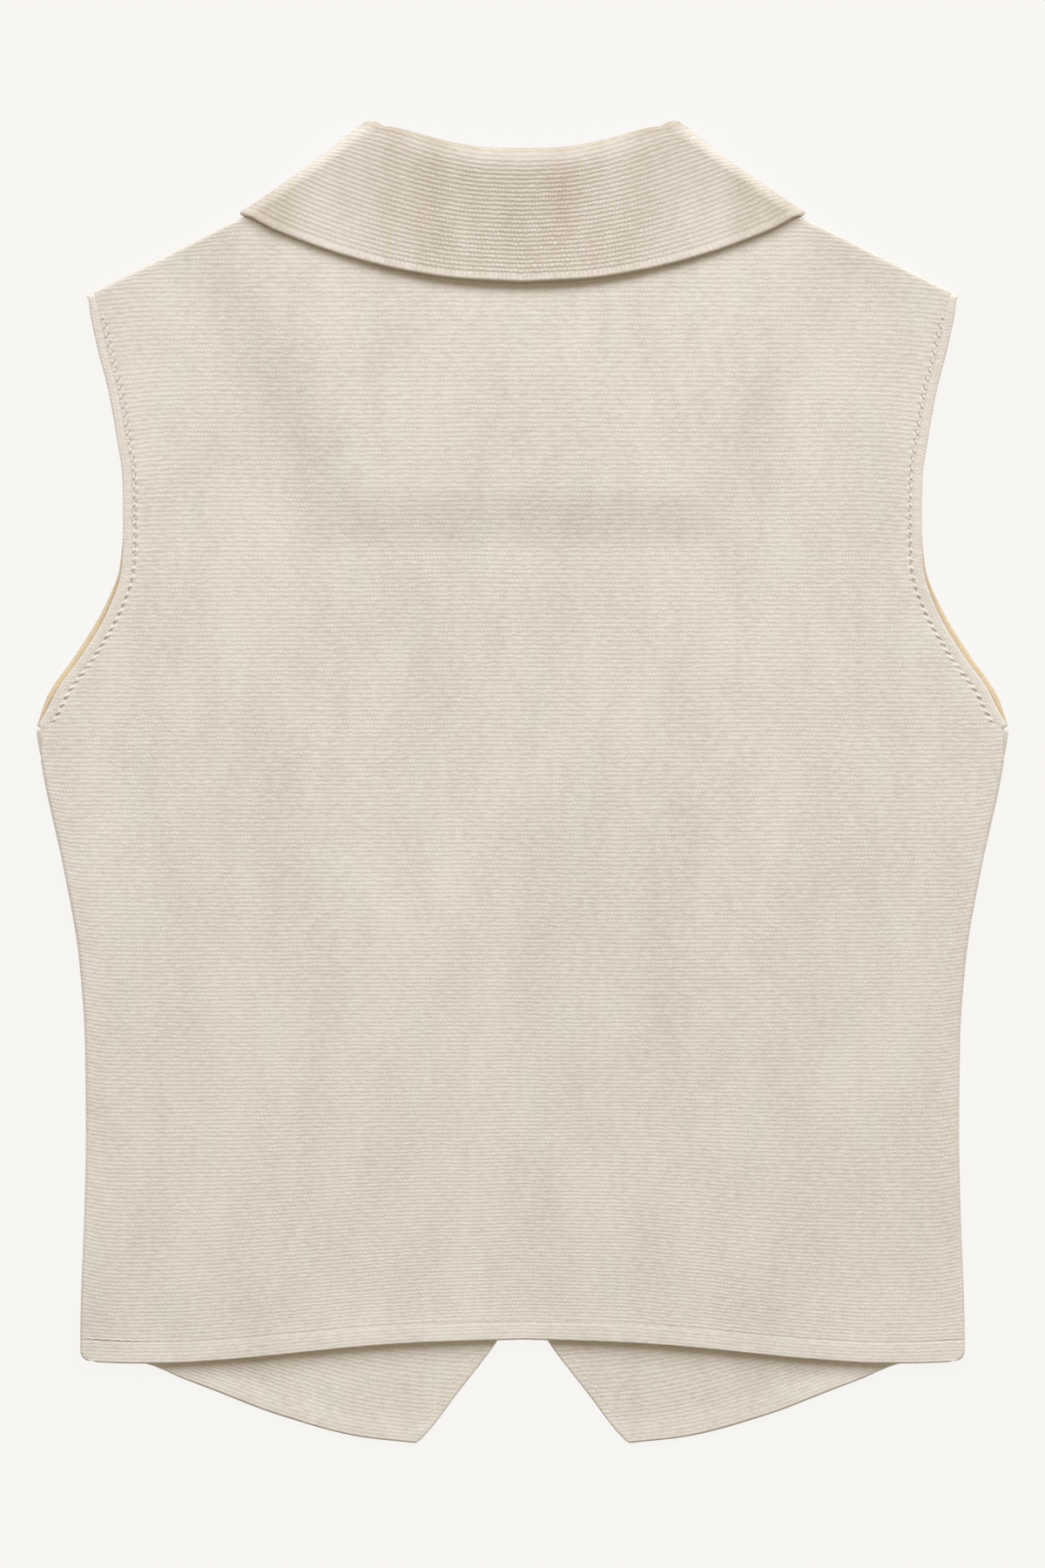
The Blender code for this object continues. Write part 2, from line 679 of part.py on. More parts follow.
def main():
    """Make the vest from its back to its zip."""
    parts, cutters = clear_scene()
    knit = finish_material("body_knit", YARN, 0.9)
    binding = finish_material("binding_knit", BINDING_YARN, 0.9)
    cloth = finish_material("tape_cloth", TAPE_CLOTH, 0.85)
    metal = finish_material("zip_metal", METAL, 0.35, 1.0)
    make_back(knit, parts)
    for side in ("left", "right"):
        make_front(side, knit, parts)
        make_binding(side, binding, parts)
    make_collar(knit, parts)
    make_zip(cloth, metal, parts, cutters)


main()
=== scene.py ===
"""Sleeveless knitted zip-up vest, laid flat on its front: the finish of every surface.

X runs across the garment, Y from hem to neck and Z up from the surface that it
lies on. The wearer's left is at -X. Sizes are in millimetres, and each mesh is
made in metres.
"""

import math

import bpy
import numpy as np
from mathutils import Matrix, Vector


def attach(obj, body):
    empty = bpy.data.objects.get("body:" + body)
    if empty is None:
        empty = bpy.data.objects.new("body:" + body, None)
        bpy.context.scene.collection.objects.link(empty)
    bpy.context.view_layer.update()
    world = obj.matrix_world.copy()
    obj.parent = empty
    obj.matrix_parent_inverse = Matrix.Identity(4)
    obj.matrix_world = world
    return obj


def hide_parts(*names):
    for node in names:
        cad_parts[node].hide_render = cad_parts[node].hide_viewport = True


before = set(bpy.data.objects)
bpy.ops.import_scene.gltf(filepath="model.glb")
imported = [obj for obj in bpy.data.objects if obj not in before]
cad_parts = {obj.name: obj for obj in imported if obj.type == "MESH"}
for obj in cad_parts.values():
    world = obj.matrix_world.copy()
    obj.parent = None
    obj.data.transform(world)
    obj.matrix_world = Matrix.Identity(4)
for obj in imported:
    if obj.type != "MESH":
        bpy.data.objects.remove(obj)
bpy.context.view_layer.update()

MM = 0.001


# ---------------------------------------------------------------------------
# The table and the light. The vest lies on a plain off-white table, seen from
# straight above through a long lens, under wide soft lamps on either side.
# ---------------------------------------------------------------------------

PHOTO_HEIGHT = 691.2
CAMERA_DISTANCE = 4000.0
CAMERA_SENSOR = 36.0
CAMERA_AIM = 0.4
TABLE_HALF = 3000.0
TABLE_DROP = 0.02
PAPER = (0.04, 0.0395, 0.0385, 1.0)
PAPER_GLOW = (0.94, 0.925, 0.905, 1.0)
PAPER_GLOW_STRENGTH = 0.955
ROOM_LIGHT = (1.0, 0.81, 0.6, 1.0)
ROOM_STRENGTH = 0.2
DAYLIGHT = (0.98, 1.025, 1.12)
WARM_LIGHT = (1.0, 0.88, 0.68)
LAMPS = (
    # name, place in metres, width in metres, watts, colour
    ("lamp_left", (-3.1, 4.05, 3.3), 2.4, 210.0, DAYLIGHT),
    ("lamp_right", (3.0, 4.1, 3.3), 2.4, 262.0, DAYLIGHT),
    ("lamp_top", (0.2, 0.6, 5.0), 2.6, 48.0, WARM_LIGHT),
    ("lamp_below", (0.3, -1.5, -3.0), 2.0, 45.0, DAYLIGHT),
)


def new_finish(name, roughness, gloss):
    """A new material, its node tree and its shader."""
    material = bpy.data.materials.new(name)
    material.use_nodes = True
    shader = material.node_tree.nodes["Principled BSDF"]
    shader.inputs["Roughness"].default_value = roughness
    shader.inputs["Specular IOR Level"].default_value = gloss
    return material, material.node_tree, shader


def tie(tree, kind, *sources, **settings):
    """Add a node to a material, and link or set its inputs in order."""
    node = tree.nodes.new(kind)
    for key, value in settings.items():
        setattr(node, key, value)
    for slot, source in enumerate(sources):
        if source is None:
            continue
        if isinstance(source, (int, float, tuple)):
            node.inputs[slot].default_value = source
        else:
            tree.links.new(source, node.inputs[slot])
    return node


def place_in_scene(name, data):
    """Put an object with its data into the scene."""
    thing = bpy.data.objects.new(name, data)
    bpy.context.scene.collection.objects.link(thing)
    return thing


table_mesh = bpy.data.meshes.new("table")
half = TABLE_HALF * MM
corners = [(-half, -half, 0.0), (half, -half, 0.0), (half, half, 0.0), (-half, half, 0.0)]
table_mesh.from_pydata(corners, [], [(0, 1, 2, 3)])
table = place_in_scene("table", table_mesh)
table.location.z = -TABLE_DROP * MM
table.visible_shadow = False

# The table can be looked through from beneath, where the zip shows.
table_paper, tree, paper = new_finish("table_paper", 1.0, 0.0)
paper.inputs["Base Color"].default_value = PAPER
paper.inputs["Emission Color"].default_value = PAPER_GLOW
paper.inputs["Emission Strength"].default_value = PAPER_GLOW_STRENGTH
backface = tie(tree, "ShaderNodeNewGeometry").outputs["Backfacing"]
clear = tie(tree, "ShaderNodeBsdfTransparent").outputs["BSDF"]
either = tie(tree, "ShaderNodeMixShader", backface, paper.outputs["BSDF"], clear)
tree.links.new(either.outputs["Shader"], tree.nodes["Material Output"].inputs["Surface"])
table_mesh.materials.append(table_paper)

camera_data = bpy.data.cameras.new("camera")
camera_data.sensor_width = CAMERA_SENSOR
camera_data.lens = CAMERA_SENSOR * CAMERA_DISTANCE / PHOTO_HEIGHT
camera_data.clip_end = 20.0
camera = place_in_scene("camera", camera_data)
camera.location = (0.0, CAMERA_AIM * MM, CAMERA_DISTANCE * MM)
bpy.context.scene.camera = camera

# Each lamp is a square softbox that faces the middle of the vest.
for name, place, width, power, colour in LAMPS:
    data = bpy.data.lights.new(name, "AREA")
    data.size = width
    data.energy = power
    data.color = colour
    lamp = place_in_scene(name, data)
    lamp.location = place
    lamp.rotation_mode = "QUATERNION"
    lamp.rotation_quaternion = Vector(place).to_track_quat("Z", "Y")

world = bpy.data.worlds.new("room")
world.use_nodes = True
background = world.node_tree.nodes["Background"]
background.inputs["Color"].default_value = ROOM_LIGHT
background.inputs["Strength"].default_value = ROOM_STRENGTH
bpy.context.scene.world = world
bpy.context.scene.view_settings.view_transform = "Standard"


# ---------------------------------------------------------------------------
# The back: one panel of fine purl-faced knit in cream yarn, about 270 courses
# high. It is linked to the fronts at the shoulders and down the sides, where
# the cloth rolls over softly.
# ---------------------------------------------------------------------------

BODY_WALL = 1.8
SEAM_GAP = 0.3
FOLD_RADIUS = 2.8
FOLD_SHARPNESS = 1.8
SEAM_RUN = 0.7
SEAM_BLEND = 0.02
LAYER_SPACE = 1.25
COLLAR_LIFT = 2.4
SETTLE_LENGTH = 12.0
CORNER_RADIUS = 4.6
CORNER_REACH = 12.0
EDGE_ROUND = 0.47
SHARP_ANGLE = 75.0
STITCH = 1.65
ROWS_A_COURSE = 4
COURSE_RELIEF = 0.02
CREST_SHAPE = 0.8
# The turned hem, and the groove that its stitches draw in above it.
HEM_DEPTH = 8.2
HEM_DEPTH_GAIN = 1.7
HEM_BAND_PLAIN = 0.4
HEM_BAND_FADE = 0.8
HEM_PUFF = 0.6
HEM_PUFF_REACH = 10.0
HEM_PUFF_SIDE = 188.0
HEM_PUFF_FADE = 30.0
HEM_GROOVE = 0.12
HEM_GROOVE_DROP = 0.7
HEM_GROOVE_WIDTH = 0.6
HEM_REACH = 130.0
# The armhole's stitches, with a small hole in the knit beside each.
ARMHOLE_PITCH = 4.0
ARMHOLE_LENGTH = 194.0
HOLE_SHIFT = 1.2
HOLE_FROM = 3.0
HOLE_INSET = 1.5
HOLE_HALF_LENGTH = 0.75
HOLE_HALF_WIDTH = 0.65
HOLE_DEPTH = 0.7
HOLE_SHADE = 2.0
# The panels end just under the armhole bindings.
BINDING_TUCK = 4.3
BINDING_FOOT = 10.0
BINDING_TAPER = 20.0
# The front rides up over the collar's leaf, inside a line beside it.
LEAF_SIDE = (132.0, 252.0)
LEAF_OUT = (0.885, -0.466)
LEAF_FOOT = 132.0
LEAF_FADE = 30.0
# Courses rise to the side seam, and droop to the armhole and the shoulder tip. A foot or
# a top is the height where that starts or ends, and the run over which it does so.
SIDE_RISE = 1.9
SIDE_RISE_FOOT = (-235.0, 20.0)
SIDE_RISE_TOP = (20.0, 30.0)
SIDE_RISE_REACH = 12.0
TIP_DROOP = 1.9
TIP_DROOP_FOOT = (60.0, 110.0)
TIP_DROOP_REACH = 26.0
DRIFT_START = (31.3, 31.7)
# Uneven knitting: the amount and the length over which it changes.
FINE_WAVER = (0.22, 17.0)
BACK_WAVER = (0.35, 60.0)
FRONT_WAVER = (0.3, 60.0)
BACK_RIPPLE = (0.22, 38.0)
RELIEF_WAVER = (0.25, 24.0)
WAVER_FADE = 6.0
SWELLS = (
    # across, height, half width, half length, rise
    (78.0, -60.0, 40.0, 150.0, 0.9),
    (60.0, 165.0, 50.0, 40.0, 0.5),
)

SIDE = (
    # height, half width
    (-253.8, 194.9), (-249.0, 194.9), (-230.0, 194.7), (-191.6, 193.2), (-153.0, 192.4),
    (-114.8, 192.8), (-76.4, 195.5), (-38.0, 202.0), (0.4, 210.4), (24.2, 214.5),
)
ARMHOLE = (
    # height, half width
    (24.2, 214.5), (38.8, 209.6), (58.0, 196.6), (77.2, 185.0), (96.4, 177.5),
    (115.6, 176.0), (134.8, 176.3), (154.0, 179.0), (173.2, 182.4), (192.4, 187.3),
    (215.8, 192.3),
)
BACK_SET_IN = (
    # height, amount
    (24.2, 0.0), (38.8, 3.0), (58.0, 3.1), (77.2, 2.5), (96.4, 0.9), (115.6, 0.0),
    (215.8, 0.0),
)
UNDERARM = (214.5, 24.2)
SHOULDER_TIP = (192.3, 215.8)
NECK_POINT = (71.5, 275.7)
BACK_NECK = (
    # across, height
    (0.0, 250.0), (25.0, 250.2), (42.0, 252.5), (55.0, 258.5), (64.0, 266.5), (71.5, 275.7),
)
BACK_HEM = (
    # share of the width, height
    (0.0, -244.2), (0.12, -245.0), (0.25, -246.0), (0.4, -248.2), (0.5, -250.2),
    (0.6, -252.2), (0.7, -253.8), (0.8, -254.8), (0.88, -254.8), (1.0, -253.8),
)
# The courses stand closer together towards the hem.
COURSE_PITCH = (
    # height, distance from one course to the next
    (-290.0, 1.5), (-244.0, 1.52), (-167.0, 1.61), (-90.0, 1.74), (-13.0, 1.88),
    (64.0, 1.94), (140.0, 2.03), (276.0, 2.08),
)


def curve_through(rows):
    """Give a smooth function through (place, value) rows, straight past its ends."""
    places, values = np.array(rows, float).T
    runs = np.diff(places)
    grades = np.diff(values) / runs
    slopes = np.concatenate(([grades[0]], np.zeros(len(runs) - 1), [grades[-1]]))
    same_way = grades[:-1] * grades[1:] > 0.0
    total = np.where(same_way, grades[:-1] + grades[1:], 1.0)
    slopes[1:-1] = np.where(same_way, 2.0 * grades[:-1] * grades[1:] / total, 0.0)

    def value_at(place):
        place = np.asarray(place, float)
        k = np.clip(np.searchsorted(places, place, side="right") - 1, 0, len(runs) - 1)
        t = (np.clip(place, places[0], places[-1]) - places[k]) / runs[k]
        rise = values[k + 1] - values[k]
        bend_in = slopes[k] * runs[k] - rise
        bend_out = slopes[k + 1] * runs[k] - rise
        inside = values[k] + t * rise + t * (1.0 - t) * ((1.0 - t) * bend_in - t * bend_out)
        before = np.minimum(place - places[0], 0.0) * slopes[0]
        after = np.maximum(place - places[-1], 0.0) * slopes[-1]
        return inside + before + after

    return value_at


def smooth_step(share):
    """Ease from 0 to 1."""
    share = np.clip(share, 0.0, 1.0)
    return share * share * (3.0 - 2.0 * share)


def drift(x, y, waver, seed):
    """Soft unevenness of one amount to either side, which changes over about one length."""
    amount, size = waver
    side = 64
    values = np.random.default_rng(seed).uniform(-1.0, 1.0, (side, side))
    u, v = np.asarray(x, float) / size + DRIFT_START[0], np.asarray(y, float) / size + DRIFT_START[1]
    i, j = np.floor(u).astype(int), np.floor(v).astype(int)
    s, t = smooth_step(u - i), smooth_step(v - j)
    i0, i1, j0, j1 = i % side, (i + 1) % side, j % side, (j + 1) % side
    low = values[i0, j0] * (1.0 - s) + values[i1, j0] * s
    high = values[i0, j1] * (1.0 - s) + values[i1, j1] * s
    return amount * (low * (1.0 - t) + high * t)


side_width = curve_through(SIDE)
armhole_width = curve_through(ARMHOLE)
back_set_in = curve_through(BACK_SET_IN)
back_neck = curve_through(BACK_NECK)
back_neck_across = curve_through([(height, across) for across, height in BACK_NECK])
back_hem = curve_through(BACK_HEM)
course_pitch = curve_through(COURSE_PITCH)

shoulder_way = np.array(SHOULDER_TIP) - np.array(NECK_POINT)
shoulder_length = np.hypot(*shoulder_way)
shoulder_way = shoulder_way / shoulder_length
shoulder_out = np.array((-shoulder_way[1], shoulder_way[0]))


def shoulder_across(y):
    """Distance from the middle to the shoulder line at a height."""
    return NECK_POINT[0] + (y - NECK_POINT[1]) * shoulder_way[0] / shoulder_way[1]


def fade_in(inset, reach):
    """Fade from 1 at an edge to 0 a reach in from it."""
    return np.clip(1.0 - inset / reach, 0.0, 1.0) ** 2


def corner_cut(y):
    """How far the rounding of the hem's corner reaches in from the side."""
    above_foot = np.clip(y - SIDE[0][0], 0.0, CORNER_RADIUS)
    return CORNER_RADIUS - np.sqrt(CORNER_RADIUS ** 2 - (CORNER_RADIUS - above_foot) ** 2)


def rounded_side(y):
    """Half width down the side, with the hem's corner rounded off."""
    return side_width(y) - corner_cut(y)


def armhole_edge(y, is_back):
    """Half width of one layer at the armhole."""
    return armhole_width(y) - (back_set_in(y) if is_back else 0.0)


def lift(x, y):
    """Height of the front's outer face: it rides up over the collar's leaves."""
    past_leaf = (x - LEAF_SIDE[0]) * LEAF_OUT[0] + (y - LEAF_SIDE[1]) * LEAF_OUT[1]
    clear = np.maximum(np.maximum(past_leaf, LEAF_FOOT - y), 0.0)
    return COLLAR_LIFT * smooth_step(1.0 - clear / LEAF_FADE)


def fold_distance(x, y):
    """Distance from the nearest folded edge, the shoulder or the side seam."""
    off_x, off_y = x - NECK_POINT[0], y - NECK_POINT[1]
    along = np.clip(off_x * shoulder_way[0] + off_y * shoulder_way[1], 0.0, shoulder_length)
    shoulder = np.hypot(off_x - shoulder_way[0] * along, off_y - shoulder_way[1] * along)
    beside = np.maximum(rounded_side(y) - x, 0.0)
    above = np.hypot(UNDERARM[0] - x, y - UNDERARM[1])
    return np.minimum(shoulder, np.where(y <= UNDERARM[1], beside, above))


def roll_height(distance):
    """Height of a folded edge's outer face above the seam."""
    inside = np.minimum(distance * FOLD_SHARPNESS, FOLD_RADIUS)
    arc = np.sqrt(FOLD_RADIUS ** 2 - (FOLD_RADIUS - inside) ** 2)
    run = SEAM_GAP / 2.0 + (SEAM_RUN - SEAM_GAP / 2.0) * np.minimum(distance / SEAM_BLEND, 1.0)
    return run + arc * (1.0 - SEAM_RUN / FOLD_RADIUS)


def swell(x, y):
    """Soft unevenness of the back, in shallow waves beside the middle."""
    rise = 0.0
    for across, height, width, length, amount in SWELLS:
        rise = rise + amount * np.exp(-((x - across) / width) ** 2 - ((y - height) / length) ** 2)
    return rise


def back_top(x, y):
    """Height of the back's outer face."""
    distance = fold_distance(x, y)
    settled = 1.0 - np.exp(-np.maximum(distance - FOLD_RADIUS, 0.0) / SETTLE_LENGTH)
    drop = 2.0 * FOLD_RADIUS - (2.0 * BODY_WALL + LAYER_SPACE)
    seam = lift(x, y) + FOLD_RADIUS
    return seam + roll_height(distance) - (drop - swell(x, y)) * settled


def panel_edge(y, is_back):
    """Half width of a panel: side seam, then just under the armhole binding, then shoulder."""
    tuck = BINDING_TUCK * np.clip((y - BINDING_FOOT) / BINDING_TAPER, 0.0, 1.0)
    outline = np.where(y > UNDERARM[1], armhole_edge(y, is_back), side_width(y))
    return np.minimum(outline - tuck, shoulder_across(y))


def round_corner(x, inset, heights):
    """Draw the columns beside the side seam in round the hem's corner."""
    return x - corner_cut(heights)[:, None] * fade_in(inset, CORNER_REACH)


def course_rows(foot, top):
    """Heights of the rows between two heights, a few to each course, and their course."""
    heights, course = [foot], [0.0]
    while heights[-1] < top:
        step = float(course_pitch(heights[-1])) / ROWS_A_COURSE
        heights.append(heights[-1] + step)
        course.append(course[-1] + 1.0 / ROWS_A_COURSE)
    extra = (len(heights) - 1) % ROWS_A_COURSE
    keep = len(heights) - extra
    return np.array(heights[:keep]), np.array(course[:keep])


def normals_of(face):
    """Unit normals of a grid of points."""
    across = np.gradient(face, axis=1)
    along = np.gradient(face, axis=0)
    normal = np.cross(across, along)
    return normal / np.maximum(np.linalg.norm(normal, axis=2, keepdims=True), 1e-9)


def edge_round(face, edges, radius):
    """How far a wall's faces draw together at its free edges."""
    rows, columns = face.shape[:2]
    steps_up = np.linalg.norm(np.diff(face, axis=0), axis=2)
    steps_across = np.linalg.norm(np.diff(face, axis=1), axis=2)
    zero_row, zero_column = np.zeros((1, columns)), np.zeros((rows, 1))
    from_foot = np.concatenate((zero_row, np.cumsum(steps_up, axis=0)))
    from_start = np.concatenate((zero_column, np.cumsum(steps_across, axis=1)), axis=1)
    distance = {
        "foot": from_foot, "top": from_foot[-1:] - from_foot,
        "start": from_start, "end": from_start[:, -1:] - from_start,
    }
    draw = np.zeros((rows, columns))
    for edge in edges:
        inside = np.minimum(distance[edge], radius)
        draw = np.maximum(draw, radius - np.sqrt(radius ** 2 - (radius - inside) ** 2))
    return draw


def knit_wall(
        face, wall, relief, edges, u, v, plain, flip, inner_rows=None, inner_relief=0.0,
):
    """Points, faces and stitch numbers of one knitted wall.

    The face is a grid of points with a few rows to each course, and relief is how far
    each point sinks below it. The inner face has only some of the rows.
    """
    rows, columns = face.shape[:2]
    if inner_rows is None:
        inner_rows = np.arange(0, rows, ROWS_A_COURSE)
    normal = normals_of(face) * (-1.0 if flip else 1.0)
    draw = edge_round(face, edges, wall * EDGE_ROUND)
    outer = face - normal * (relief + draw)[..., None]
    sunk = (wall - draw - inner_relief)[..., None]
    inner = (face - normal * sunk)[inner_rows]
    outer[..., 2] = np.maximum(outer[..., 2], 0.0)
    points = np.concatenate((outer.reshape(-1, 3), inner.reshape(-1, 3)))
    stitches = np.stack((u, v, plain), axis=2)
    numbers = np.concatenate((stitches.reshape(-1, 3), stitches[inner_rows].reshape(-1, 3)))
    flags = np.concatenate((np.zeros(rows * columns), np.ones(len(inner_rows) * columns)))
    out_index = np.arange(rows * columns).reshape(rows, columns)
    in_index = np.arange(len(inner_rows) * columns).reshape(-1, columns) + rows * columns

    def quads(grid):
        corners = (grid[:-1, :-1], grid[:-1, 1:], grid[1:, 1:], grid[1:, :-1])
        return np.stack([c.ravel() for c in corners], axis=1)

    faces = quads(out_index).tolist() + quads(in_index)[:, ::-1].tolist()
    for row, turn in ((0, 1), (-1, -1)):
        a, b = out_index[row], in_index[row]
        strip = np.stack((a[:-1], b[:-1], b[1:], a[1:]), axis=1)
        faces += strip[:, ::turn].tolist()
    for column, turn in ((0, -1), (-1, 1)):
        a, b = out_index[:, column].tolist(), in_index[:, column].tolist()
        for k, (first, last) in enumerate(zip(inner_rows, inner_rows[1:])):
            middle = (first + last) // 2
            for row in range(first, last):
                near = b[k] if row < middle else b[k + 1]
                faces.append([a[row], near, a[row + 1]][::turn])
            faces.append([a[middle], b[k], b[k + 1]][::turn])
    if flip:
        faces = [corners[::-1] for corners in faces]
    return points, faces, numbers, flags


def make_piece(name, points, faces, materials, numbers=None):
    """One piece on the garment from points in millimetres, with their stitch numbers."""
    mesh = bpy.data.meshes.new(name)
    mesh.from_pydata((np.asarray(points) * MM).tolist(), [], faces)
    if numbers is not None:
        stitch_numbers = mesh.attributes.new("stitches", "FLOAT_VECTOR", "POINT")
        stitch_numbers.data.foreach_set("vector", np.array(numbers, np.float32).ravel())
    for material in materials:
        mesh.materials.append(material)
    piece = place_in_scene(name, mesh)
    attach(piece, "garment")
    return piece


def make_knit(name, walls, materials):
    """One piece from knitted walls, whose last material is that of its inner face."""
    points, faces, numbers, flags = [], [], [], []
    start = 0
    for wall_points, wall_faces, wall_numbers, inner_flag in walls:
        points.append(wall_points)
        faces += [[corner + start for corner in face] for face in wall_faces]
        numbers.append(wall_numbers)
        flags.append(inner_flag)
        start += len(wall_points)
    points, numbers, flags = map(np.concatenate, (points, numbers, flags))
    piece = make_piece(name, points, faces, materials, numbers)
    if len(materials) > 1:
        inside = [int(flags[face].min() > 0.5) for face in faces]
        piece.data.polygons.foreach_set("material_index", inside)
    piece.data.set_sharp_from_angle(angle=math.radians(SHARP_ANGLE))
    return piece


def maths_in(tree):
    """A short way to add maths nodes to a material."""

    def maths(operation, *sources):
        return tie(tree, "ShaderNodeMath", *sources, operation=operation).outputs[0]

    return maths


def noise_on(tree, place, scale, detail=2.0):
    """Soft noise over a place, with so many features to the metre."""
    noise = tie(tree, "ShaderNodeTexNoise", place)
    noise.inputs["Scale"].default_value = scale
    noise.inputs["Detail"].default_value = detail
    return noise.outputs["Fac"]


def stretch(tree, place, scales):
    """A place with its axes scaled, so that a texture on it comes out longer along some."""
    return tie(tree, "ShaderNodeVectorMath", place, scales, operation="MULTIPLY").outputs[0]


def raise_surface(tree, shader, height, distance):
    """Raise the surface by a height of 0 to 1 times a distance in millimetres."""
    relief = tree.nodes.new("ShaderNodeBump")
    relief.inputs["Strength"].default_value = 1.0
    relief.inputs["Distance"].default_value = distance * MM
    tree.links.new(height, relief.inputs["Height"])
    tree.links.new(relief.outputs["Normal"], shader.inputs["Normal"])


def mix_colours(tree, share, first, second, **settings):
    """One colour for a share of 0 and another for 1."""
    mix = tie(tree, "ShaderNodeMix", data_type="RGBA", **settings)
    for slot, source in (("Factor", share), ("A", first), ("B", second)):
        if isinstance(source, (float, tuple)):
            mix.inputs[slot].default_value = source
        else:
            tree.links.new(source, mix.inputs[slot])
    return mix.outputs["Result"]


def knit_finish(name, light, dark, bump, gap_shade, row_share, mottle=0.7):
    """Cream yarn in purl stitches: uneven beads along wavering courses, with painted shade between
    them and in holes.
    """
    material, tree, shader = new_finish(name, 0.95, 0.12)
    shader.inputs["Sheen Weight"].default_value = 0.12
    shader.inputs["Sheen Roughness"].default_value = 0.5
    maths = maths_in(tree)
    stitches = tie(tree, "ShaderNodeAttribute", attribute_name="stitches")
    u, v, plain = tie(tree, "ShaderNodeSeparateXYZ", stitches.outputs["Vector"]).outputs
    place = tree.nodes.new("ShaderNodeTexCoord").outputs["Object"]
    upright = stretch(tree, place, (1.0, 0.45, 1.0))
    sideways = stretch(tree, place, (0.5, 1.0, 1.0))

    def cloud(scale, detail=1.0, where=place):
        return noise_on(tree, where, scale, detail)

    def uneven(amount, scale, detail=1.0, where=place):
        return maths("MULTIPLY_ADD", cloud(scale, detail, where), amount, -amount / 2.0)

    def wave(phase, swing):
        turned = maths("COSINE", maths("MULTIPLY", phase, 2 * math.pi))
        return maths("MULTIPLY_ADD", turned, swing, 0.5)

    # Wavering courses, staggered beads along them and holes beside the sewing.
    level = maths("ADD", v, uneven(0.7, 360.0))
    course = maths("FLOOR", level)
    shift = tie(tree, "ShaderNodeTexWhiteNoise", None, course, noise_dimensions="1D")
    stagger = maths("MULTIPLY_ADD", course, 0.5, maths("MULTIPLY", shift.outputs["Value"], 0.4))
    along = maths("ADD", maths("ADD", u, stagger), maths("MULTIPLY", cloud(150.0), 1.8))
    bead, ridge = wave(along, 0.5), wave(level, -0.5)
    vigour = maths("MULTIPLY_ADD", cloud(300.0), 3.0, -0.5)
    smooth = maths("MINIMUM", plain, 1.0)
    # A plainness above 1 marks a hole, in which shade is painted.
    hole = maths("MAXIMUM", maths("SUBTRACT", plain, 1.0), 0.0)
    raised = maths("SUBTRACT", 1.0, maths("MULTIPLY", smooth, 0.6))
    bead_share = maths("MULTIPLY", vigour, 1.0 - row_share)
    bead_part = maths("MULTIPLY", maths("MULTIPLY", bead, ridge), bead_share)
    stitch = maths("MULTIPLY_ADD", ridge, row_share, bead_part)
    fibre = maths("MULTIPLY", cloud(2200.0, 2.0), 0.25)
    raise_surface(tree, shader, maths("MULTIPLY_ADD", stitch, raised, fibre), bump)

    # Painted shade between the stitches and in the holes, random darker patches and short dashes,
    # and a little hue.
    gap = maths("MULTIPLY", maths("MULTIPLY", maths("SUBTRACT", 1.0, stitch), raised), gap_shade)
    patches = uneven(0.5, 22.0, 2.0, upright)
    blots, dashes = uneven(0.3, 90.0, 2.0, upright), uneven(mottle, 600.0, 1.0, sideways)
    mixed = maths("ADD", maths("ADD", gap, patches), maths("ADD", blots, dashes))
    mixed = maths("MULTIPLY_ADD", hole, 3.0, mixed)
    yarn = mix_colours(tree, tie(tree, "ShaderNodeClamp", mixed).outputs[0], light, dark)
    hue = maths("MULTIPLY_ADD", cloud(55.0, 2.0, upright), 3.0, -1.0)
    tint = mix_colours(tree, hue, ROSE_TINT, GREEN_TINT)
    colour = mix_colours(tree, 1.0, yarn, tint, blend_type="MULTIPLY")
    tree.links.new(colour, shader.inputs["Base Color"])
    return material


# The yarn, and the colour of the painted shade between its stitches and in its holes, which its
# darker patches share.
CREAM = (0.755, 0.711, 0.631, 1.0)
CREAM_SHADE = (0.5, 0.445, 0.365, 1.0)
ROSE_TINT = (1.0, 0.986, 0.992, 1.0)
GREEN_TINT = (0.988, 0.998, 0.985, 1.0)
COLUMN_INSETS = (
    # distance in from the folded edge
    0.0, 0.02, 0.12, 0.35, 0.7, 1.1, 1.5, 2.0, 2.8, 4.2, 6.5, 10.0, 15.0, 22.0,
)

PANEL_COLUMNS = 20
SHOULDER_COLUMNS = 14
TOP_CLEARANCE = 0.6
LEAST_ROW = 0.5

body_knit = knit_finish(
    "body_knit", CREAM, CREAM_SHADE, bump=0.09, gap_shade=0.34, row_share=0.4,
)
body_inside = knit_finish(
    "body_knit_inside", CREAM, CREAM_SHADE, bump=0.08, gap_shade=0.3, row_share=0.45,
)


def ridge_relief(course, depth):
    """How far a quarter-course row lies below its course's crest."""
    return depth * (1.0 - np.abs(np.sin(np.pi * course)) ** CREST_SHAPE)


def spread_row(start, end, count, start_insets, end_insets):
    """Places across each row: close together at its ends and even between them."""
    start_insets, end_insets = np.array(start_insets), np.array(end_insets)
    room = (end - start)[:, None]
    shrink = np.minimum(room / (2.0 * (start_insets[-1] + end_insets[-1])), 1.0)
    first = start[:, None] + start_insets[None, :] * shrink
    last = end[:, None] - end_insets[None, ::-1] * shrink
    even = np.linspace(0.0, 1.0, count + 2)[None, 1:-1]
    between = first[:, -1:] + even * (last[:, :1] - first[:, -1:])
    return np.concatenate((first, between, last), axis=1)


def hem_blend(height, foot, reach):
    """How closely a course follows the hem: 1 at the hem, 0 a reach above it."""
    return smooth_step(1.0 - (height - foot) / reach)


